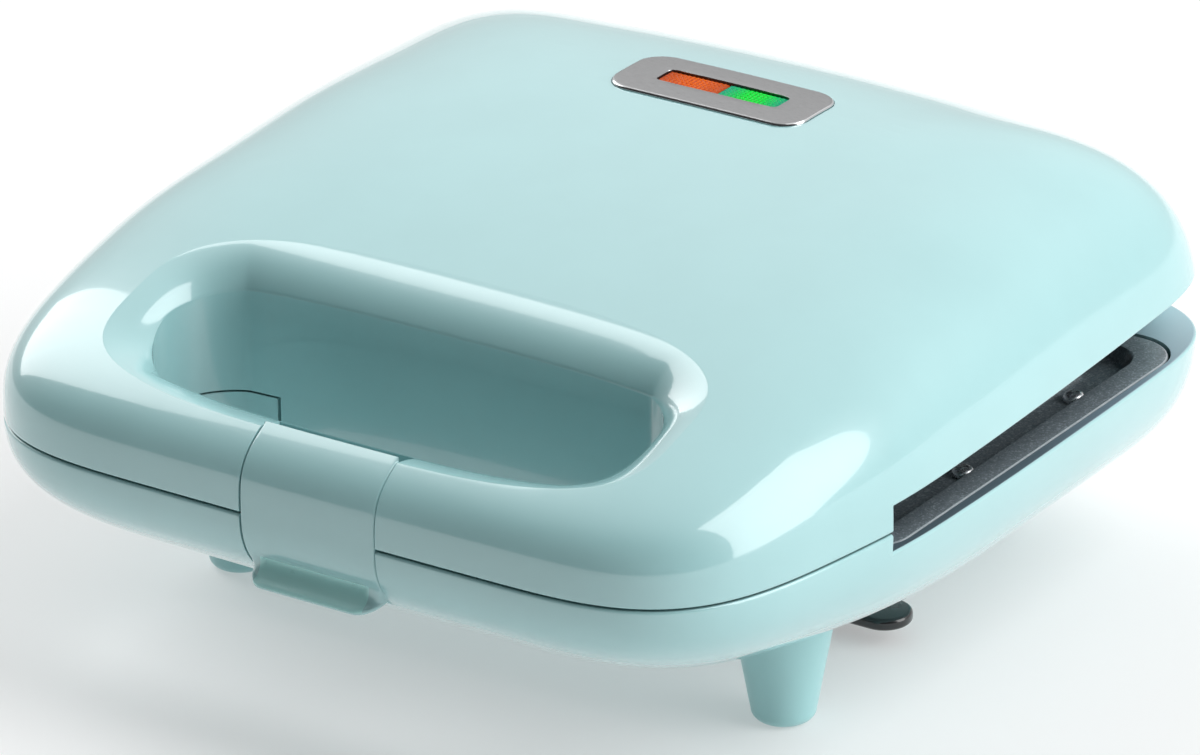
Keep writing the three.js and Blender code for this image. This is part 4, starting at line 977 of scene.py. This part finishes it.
def noise(nt, vec, scale, detail=3.0, rough=0.55, stretch=None):
    if stretch is not None:
        mp = nt.nodes.new("ShaderNodeMapping")
        mp.inputs["Scale"].default_value = stretch
        nt.links.new(vec, mp.inputs["Vector"])
        vec = mp.outputs["Vector"]
    n_ = nt.nodes.new("ShaderNodeTexNoise")
    n_.inputs["Scale"].default_value = scale
    n_.inputs["Detail"].default_value = detail
    n_.inputs["Roughness"].default_value = rough
    nt.links.new(vec, n_.inputs["Vector"])
    return n_.outputs["Fac"]


def ramp(nt, fac, stops):
    r = nt.nodes.new("ShaderNodeValToRGB")
    nt.links.new(fac, r.inputs["Fac"])
    while len(r.color_ramp.elements) < len(stops):
        r.color_ramp.elements.new(0.5)
    for e, (p, c) in zip(r.color_ramp.elements, stops):
        e.position = p
        e.color = (*c, 1) if len(c) == 3 else c
    return r.outputs["Color"]


def bump(nt, b, height, strength, distance):
    bp = nt.nodes.new("ShaderNodeBump")
    bp.inputs["Strength"].default_value = strength
    bp.inputs["Distance"].default_value = distance
    nt.links.new(height, bp.inputs["Height"])
    nt.links.new(bp.outputs["Normal"], b.inputs["Normal"])
    return bp


MINT = (0.362, 0.612, 0.626)


def mint_material(name, tint=MINT, rough=0.16, coat=1.0):
    mt, nt, b = material(name, tint, rough, coat=coat, coat_rough=0.035, ior=1.5)
    v = coords(nt)
    c1 = tuple(c * 0.985 for c in tint)
    c2 = tuple(min(c * 1.012, 1) for c in tint)
    nt.links.new(ramp(nt, noise(nt, v, 42, 4), [(0.35, c1), (0.65, c2)]), b.inputs["Base Color"])
    nt.links.new(ramp(nt, noise(nt, v, 160, 5, 0.6), [(0.3, (rough * 0.8,) * 3), (0.7, (rough * 1.25,) * 3)]), b.inputs["Roughness"])
    bump(nt, b, noise(nt, v, 95, 2, 0.4), 0.035, 0.0004)
    return mt


M_MINT = mint_material("mint_gloss")
M_SATIN = mint_material("mint_satin", (0.36, 0.63, 0.64), 0.34, 0.12)

# painted light: a lighter mint for the latch's finger hollow, standing in for the light it catches
M_PAINTED_LIGHT_LIP = mint_material("mint_painted_light_lip", (0.43, 0.79, 0.77), 0.3, 0.2)

M_PLATE, nt, b = material("nonstick", (0.03, 0.035, 0.04), 0.42, 0.0, 0.25, 0.25)
v = coords(nt)
fleck = nt.nodes.new("ShaderNodeTexVoronoi")
fleck.inputs["Scale"].default_value = 2600
nt.links.new(v, fleck.inputs["Vector"])
spark = ramp(nt, fleck.outputs["Color"], [(0.25, (0.115, 0.142, 0.158)), (0.72, (0.175, 0.210, 0.232)), (0.93, (0.30, 0.35, 0.385))])
nt.links.new(spark, b.inputs["Base Color"])
nt.links.new(ramp(nt, noise(nt, v, 700, 3), [(0.3, (0.3,) * 3), (0.7, (0.5,) * 3)]), b.inputs["Roughness"])
bump(nt, b, noise(nt, v, 1500, 3), 0.25, 0.0002)

# painted highlight: a lighter metal grey on the rounded outer edge of the lower plate's flange, standing in for the
# bright edge line
M_PAINTED_HIGHLIGHT_EDGE, nt, b = material("painted_highlight_edge", (0.42, 0.47, 0.50), 0.3, 0.3)
nt.links.new(ramp(nt, noise(nt, coords(nt), 900, 3), [(0.3, (0.36, 0.41, 0.44)), (0.7, (0.48, 0.53, 0.56))]), b.inputs["Base Color"])

# painted shadow: a darker mint for the faces at the parting line, standing in for the shade in the gap between lid and
# base
M_PAINTED_SHADOW_RIM, nt, b = material("painted_shadow_rim", (0.24, 0.405, 0.41), 0.4)
nt.links.new(ramp(nt, noise(nt, coords(nt), 160, 4), [(0.3, (0.225, 0.385, 0.39)), (0.7, (0.25, 0.42, 0.425))]), b.inputs["Base Color"])

M_STEEL, nt, b = material("plated_steel", (0.8, 0.8, 0.8), 0.26, 1.0)
v = coords(nt)
nt.links.new(ramp(nt, noise(nt, v, 900, 3), [(0.3, (0.72, 0.73, 0.74)), (0.7, (0.88, 0.89, 0.90))]), b.inputs["Base Color"])
nt.links.new(ramp(nt, noise(nt, v, 1400, 3), [(0.3, (0.2,) * 3), (0.7, (0.38,) * 3)]), b.inputs["Roughness"])

M_LABEL, nt, b = material("brushed_steel", (0.6, 0.6, 0.61), 0.3, 1.0)
v = coords(nt)
lines = noise(nt, v, 60, 6, 0.7, (6, 140, 6))
nt.links.new(ramp(nt, lines, [(0.3, (0.27, 0.272, 0.275)), (0.7, (0.40, 0.403, 0.41))]), b.inputs["Base Color"])
nt.links.new(ramp(nt, lines, [(0.3, (0.24,) * 3), (0.7, (0.40,) * 3)]), b.inputs["Roughness"])
bump(nt, b, lines, 0.12, 0.0001)

# painted shade: the base's mint ledge beside the plates, dark slate at the front turning to mint at the rear, standing
# in for shade on the ledge under the lid
M_PAINTED_SHADE_DECK, nt, b = material("painted_shade_deck", (0.1, 0.14, 0.16), 0.4)
v = coords(nt)
axis = nt.nodes.new("ShaderNodeSeparateXYZ")
nt.links.new(v, axis.inputs["Vector"])
span = nt.nodes.new("ShaderNodeMapRange")
span.inputs["From Min"].default_value = -0.05
span.inputs["From Max"].default_value = 0.11
nt.links.new(axis.outputs["Y"], span.inputs["Value"])
nt.links.new(ramp(nt, span.outputs["Result"], [(0.0, (0.075, 0.112, 0.134)), (0.42, (0.10, 0.145, 0.175)), (0.72, (0.20, 0.28, 0.34)),
                                               (0.95, (0.40, 0.58, 0.64))]), b.inputs["Base Color"])
nt.links.new(ramp(nt, noise(nt, v, 900, 2), [(0.3, (0.36,) * 3), (0.7, (0.42,) * 3)]), b.inputs["Roughness"])

M_LABEL_EDGE, nt, b = material("polished_steel", (0.72, 0.73, 0.74), 0.1, 1.0)
nt.links.new(ramp(nt, noise(nt, coords(nt), 500, 2), [(0.3, (0.07,) * 3), (0.7, (0.15,) * 3)]), b.inputs["Roughness"])

M_BLACK, nt, b = material("black_gloss", (0.012, 0.013, 0.014), 0.2, 0.0, 0.5, 0.05)
nt.links.new(ramp(nt, noise(nt, coords(nt), 220, 4), [(0.3, (0.14,) * 3), (0.7, (0.3,) * 3)]), b.inputs["Roughness"])
nt.links.new(ramp(nt, noise(nt, coords(nt), 90, 4), [(0.3, (0.009, 0.010, 0.011)), (0.7, (0.017, 0.018, 0.019))]), b.inputs["Base Color"])


def lens_material(name, dark, lit, power_, at_end, x_from, x_to):
    mt, nt, b = material(name, lit, 0.3, 0.0, 0.0, 0.05)
    v = coords(nt)
    mp = nt.nodes.new("ShaderNodeTexChecker")
    mp.inputs["Scale"].default_value = 1300
    rot = nt.nodes.new("ShaderNodeMapping")
    rot.inputs["Rotation"].default_value = (0, 0, math.radians(45))
    nt.links.new(v, rot.inputs["Vector"])
    nt.links.new(rot.outputs["Vector"], mp.inputs["Vector"])
    c = ramp(nt, mp.outputs["Fac"], [(0.0, dark), (1.0, lit)])
    axis = nt.nodes.new("ShaderNodeSeparateXYZ")
    nt.links.new(v, axis.inputs["Vector"])
    span = nt.nodes.new("ShaderNodeMapRange")
    span.inputs["From Min"].default_value = x_from
    span.inputs["From Max"].default_value = x_to
    nt.links.new(axis.outputs["X"], span.inputs["Value"])
    end = ramp(nt, span.outputs["Result"], [(0.0, (0.95,) * 3), (0.38, (0.0,) * 3), (0.66, (0.0,) * 3), (1.0, (0.85,) * 3)])
    mx = nt.nodes.new("ShaderNodeMix")
    mx.data_type = "RGBA"
    nt.links.new(end, mx.inputs["Factor"])
    nt.links.new(c, mx.inputs[6])
    mx.inputs[7].default_value = (*at_end, 1)
    c = mx.outputs[2]
    nt.links.new(c, b.inputs["Base Color"])
    nt.links.new(c, b.inputs["Emission Color"])
    b.inputs["Emission Strength"].default_value = power_
    b.inputs["Specular IOR Level"].default_value = 0.1
    return mt


M_AMBER = lens_material("amber_lens", (0.44, 0.050, 0.002), (0.62, 0.115, 0.006), 0.26, (0.36, 0.055, 0.012), -0.0166, 0.0)
M_GREEN = lens_material("green_lens", (0.001, 0.38, 0.020), (0.002, 0.62, 0.045), 0.32, (0.008, 0.22, 0.17), 0.0, 0.0166)

M_SHEET, nt, b = material("bright_sheet", (0.7, 0.71, 0.72), 0.3, 1.0)
nt.links.new(ramp(nt, noise(nt, coords(nt), 60, 5, 0.6, (1, 14, 1)), [(0.3, (0.22,) * 3), (0.7, (0.4,) * 3)]), b.inputs["Roughness"])
M_HEATER, nt, b = material("heater_sheath", (0.15, 0.12, 0.10), 0.5, 0.8)
nt.links.new(ramp(nt, noise(nt, coords(nt), 120, 5), [(0.3, (0.09, 0.07, 0.06)), (0.7, (0.24, 0.19, 0.15))]), b.inputs["Base Color"])
M_CERAMIC, nt, b = material("ceramic", (0.78, 0.75, 0.68), 0.6)
nt.links.new(ramp(nt, noise(nt, coords(nt), 260, 5), [(0.3, (0.70, 0.67, 0.60)), (0.7, (0.84, 0.81, 0.74))]), b.inputs["Base Color"])
M_GLASS, nt, b = material("lamp_glass", (0.92, 0.88, 0.8), 0.08, 0.0, 0.4)
nt.links.new(ramp(nt, noise(nt, coords(nt), 300, 3), [(0.3, (0.84, 0.78, 0.68)), (0.7, (0.96, 0.92, 0.84))]), b.inputs["Base Color"])
M_BRASS, nt, b = material("brass", (0.62, 0.42, 0.14), 0.3, 1.0)
nt.links.new(ramp(nt, noise(nt, coords(nt), 400, 4), [(0.3, (0.52, 0.34, 0.10)), (0.7, (0.70, 0.49, 0.18))]), b.inputs["Base Color"])


def paint(ob, mt):
    ob.data.materials.clear()
    ob.data.materials.append(mt)


# ------------------------------------------------------------------ assembly of visual pieces
def stand(ob, mt, body, slot, *nodes):
    paint(ob, mt)
    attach(ob, body)
    if nodes:
        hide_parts(*nodes)


stand(lid, M_MINT, "lid", "mint_gloss", "lid_shell")
stand(base, M_MINT, "base", "mint_gloss", "base_shell")
# painted shade: the flat ledge faces at the base rim height get the dark-to-mint ramp
base.data.materials.append(M_PAINTED_SHADE_DECK)
for p in base.data.polygons:
    if p.normal.z > 0.9 and abs(p.center.z / MM - BASE_RIM_Z) < 0.08:
        p.material_index = 1
# painted shadow: the darker rim colour is added to base and lid for their parting-line faces, chosen further down
base.data.materials.append(M_PAINTED_SHADOW_RIM)
lid.data.materials.append(M_PAINTED_SHADOW_RIM)
for ob in (base, lid):
    for p in ob.data.polygons:
        if abs(p.normal.z) > 0.9995 and p.area > 1.5e-6:
            p.use_smooth = False
# painted shadow: base faces at the parting line get the darker rim colour
for p in base.data.polygons:
    if p.normal.z > 0.9 and abs(p.center.z / MM - PARTING_Z + PARTING_GAP / 2) < 0.05:
        p.material_index = 2
# painted shadow: lid faces at the parting line get the darker rim colour
for p in lid.data.polygons:
    if p.normal.z < -0.9 and abs(p.center.z / MM - PARTING_Z - PARTING_GAP / 2) < 0.05:
        p.material_index = 1
stand(latch, M_MINT, "latch", "mint_gloss", "latch")
latch.data.materials.append(M_PAINTED_LIGHT_LIP)
# painted light: the outward faces of the finger hollow get the lighter mint
for p in latch.data.polygons:
    c = p.center / MM
    if abs(c.x) < 14.9 and 42.0 < c.z < 47.2 and c.y < -110.5 and p.normal.y < 0.2:
        p.material_index = 1
stand(lower, M_PLATE, "base", "coated_aluminium", "lower_cooking_plate")
lower.data.materials.append(M_PAINTED_HIGHLIGHT_EDGE)
# painted highlight: faces on the rounded outer flange edge along the sides get the lighter edge colour
loop0 = np.array(plate_loop(0.0))
loop0 = np.concatenate([loop0 + (np.roll(loop0, -1, 0) - loop0) * q_ for q_ in np.arange(0, 1, 0.02)])
for p in lower.data.polygons:
    c = np.array(p.center) / MM
    if 52.6 < c[2] < 53.09 and abs(c[0]) > 60 and np.min(np.hypot(loop0[:, 0] - c[0], loop0[:, 1] - c[1])) < 0.62:
        p.material_index = 1
stand(upper, M_PLATE, "lid", "coated_aluminium", "upper_cooking_plate")
stand(label, M_LABEL, "lid", "satin_steel", "indicator_plate")
label.data.materials.append(M_LABEL_EDGE)
label.data.materials.append(M_BLACK)
n_lab = len(lab_in)
for p in label.data.polygons:
    near = [v_ // n_lab for v_ in p.vertices]
    if min(near) >= 8 and max(near) <= 11 and set(near) != {0, 11}:
        p.material_index = 1
    elif max(near) <= 1:
        p.material_index = 2
stand(power, M_AMBER, "lid", "amber_lens", "power_lens")
stand(ready, M_GREEN, "lid", "green_lens", "ready_lens")
for name, f in feet.items():
    stand(f, M_SATIN, "base", "mint_satin", name)
for side, c in cleats.items():
    stand(c, M_BLACK, "base", "black_gloss", f"cord_cleat_{side}")
stand(gland, M_BLACK, "base", "black_gloss", "cord_gland")
for s in (-1, 1):
    side = "left" if s < 0 else "right"
    for i, end in ((0, "front"), (1, "rear")):
        a = screw_piece(f"lower_screw_{side}_{end}_fine", s * SCREW_X, SCREW_Y[i], LOWER_TROUGH_Z + 0.2, 1, 10)
        stand(a, M_STEEL, "base", "plated_steel", f"lower_plate_screw_{side}_{end}")
        b_ = screw_piece(f"upper_screw_{side}_{end}_fine", s * SCREW_X, SCREW_Y[i], lid_rim(SCREW_Y[i]) + 3.92, -1, 10)
        stand(b_, M_STEEL, "lid", "plated_steel", f"upper_plate_screw_{side}_{end}")

CARRIED = {
    "latch_pin": M_STEEL, "hinge_pin_left": M_STEEL, "hinge_pin_right": M_STEEL,
    "foot_screw_front_left": M_STEEL, "foot_screw_front_right": M_STEEL, "foot_screw_rear_left": M_STEEL, "foot_screw_rear_right": M_STEEL,
    "lower_heating_element": M_HEATER, "upper_heating_element": M_HEATER,
    "lower_heat_reflector": M_SHEET, "upper_heat_reflector": M_SHEET,
    "lamp_holder": M_CERAMIC, "power_lamp": M_GLASS, "ready_lamp": M_GLASS,
    "thermostat": M_BLACK, "thermal_fuse": M_BRASS, "terminal_block": M_CERAMIC,
}
for name, mt in CARRIED.items():
    ob = NODES[name]
    if len(ob.material_slots) == 0:
        ob.data.materials.append(mt)
    for sl in ob.material_slots:
        sl.material = mt
    bv = ob.modifiers.new("edge", "BEVEL")
    bv.width = 0.00015
    bv.segments = 2
    bv.limit_method = "ANGLE"
    bv.angle_limit = math.radians(50)

# ------------------------------------------------------------------ floor and light
floor = new_object("floor", [(-2600, -2600, -0.05), (2600, -2600, -0.05), (2600, 3400, -0.05), (-2600, 3400, -0.05)], [(0, 1, 2, 3)])
M_FLOOR, nt, b = material("floor", (0.86, 0.87, 0.87), 0.7)
nt.links.new(ramp(nt, noise(nt, coords(nt), 3, 3), [(0.3, (0.56, 0.56, 0.56)), (0.7, (0.58, 0.58, 0.58))]), b.inputs["Base Color"])
b.inputs["Emission Color"].default_value = (1.0, 1.0, 1.0, 1)
b.inputs["Emission Strength"].default_value = 0.34
b.inputs["Specular IOR Level"].default_value = 0.1
paint(floor, M_FLOOR)


def area(name, loc, look, size_x, size_y, power_, color=(1, 1, 1)):
    d = bpy.data.lights.new(name, "AREA")
    d.shape = "RECTANGLE"
    d.size, d.size_y = size_x, size_y
    d.energy = power_
    d.color = color
    o = bpy.data.objects.new(name, d)
    o.location = loc
    o.rotation_euler = (Vector(look) - Vector(loc)).to_track_quat("-Z", "Y").to_euler()
    COLL.objects.link(o)
    return o


def softbox(name, az, el, half_w, half_h, radiance, roll=0.0, dist=2.4, color=(1, 1, 1)):
    """Flat panel seen from the object at azimuth az and height angle el, with half sizes in degrees."""
    a_, e_ = math.radians(az), math.radians(el)
    at = Vector((math.sin(a_) * math.cos(e_), -math.cos(a_) * math.cos(e_), math.sin(e_))) * dist
    sx = 2 * dist * math.tan(math.radians(half_w))
    sy = 2 * dist * math.tan(math.radians(half_h))
    o = area(name, at + Vector((0, 0, 0.06)), (0, 0, 0.06), sx, sy, radiance * math.pi * sx * sy, color)
    o.rotation_euler = ((-at).to_track_quat("-Z", "Y") @ Quaternion((0, 0, 1), math.radians(roll))).to_euler()
    return o


softbox("right_box", 106, 34, 18, 36, 3.4, -8)
softbox("left_box", -103, 37, 15, 23, 2.75, -6)
w = bpy.data.worlds.new("studio")
w.use_nodes = True
wt = w.node_tree
bg = wt.nodes["Background"]
wc = wt.nodes.new("ShaderNodeTexCoord")
wx = wt.nodes.new("ShaderNodeSeparateXYZ")
wt.links.new(wc.outputs["Generated"], wx.inputs["Vector"])


def smooth_step(lo_, hi_, out0, out1, value):
    m_ = wt.nodes.new("ShaderNodeMapRange")
    m_.interpolation_type = "SMOOTHSTEP"
    m_.inputs["From Min"].default_value = lo_
    m_.inputs["From Max"].default_value = hi_
    m_.inputs["To Min"].default_value = out0
    m_.inputs["To Max"].default_value = out1
    wt.links.new(value, m_.inputs["Value"])
    return m_.outputs["Result"]


rear_part = smooth_step(-0.6, 0.35, 0.045, 1.06, wx.outputs["Y"])
high_part = smooth_step(0.05, 0.6, 0.62, 1.0, wx.outputs["Z"])
prod = wt.nodes.new("ShaderNodeMath")
prod.operation = "MULTIPLY"
wt.links.new(rear_part, prod.inputs[0])
wt.links.new(high_part, prod.inputs[1])
bg.inputs["Color"].default_value = (1.0, 1.0, 1.0, 1)
wt.links.new(prod.outputs["Value"], bg.inputs["Strength"])
bpy.context.scene.world = w
bpy.context.scene.view_settings.view_transform = "Standard"
bpy.context.scene.view_settings.look = "None"

lo, hi = np.array(CAD_BOX[0]), np.array(CAD_BOX[1])
for ob in (lid, base, latch, label, power, ready, gland):
    co = np.empty(len(ob.data.vertices) * 3)
    ob.data.vertices.foreach_get("co", co)
    co = np.clip(co.reshape(-1, 3), lo, hi)
    ob.data.vertices.foreach_set("co", co.ravel())
    ob.data.update()
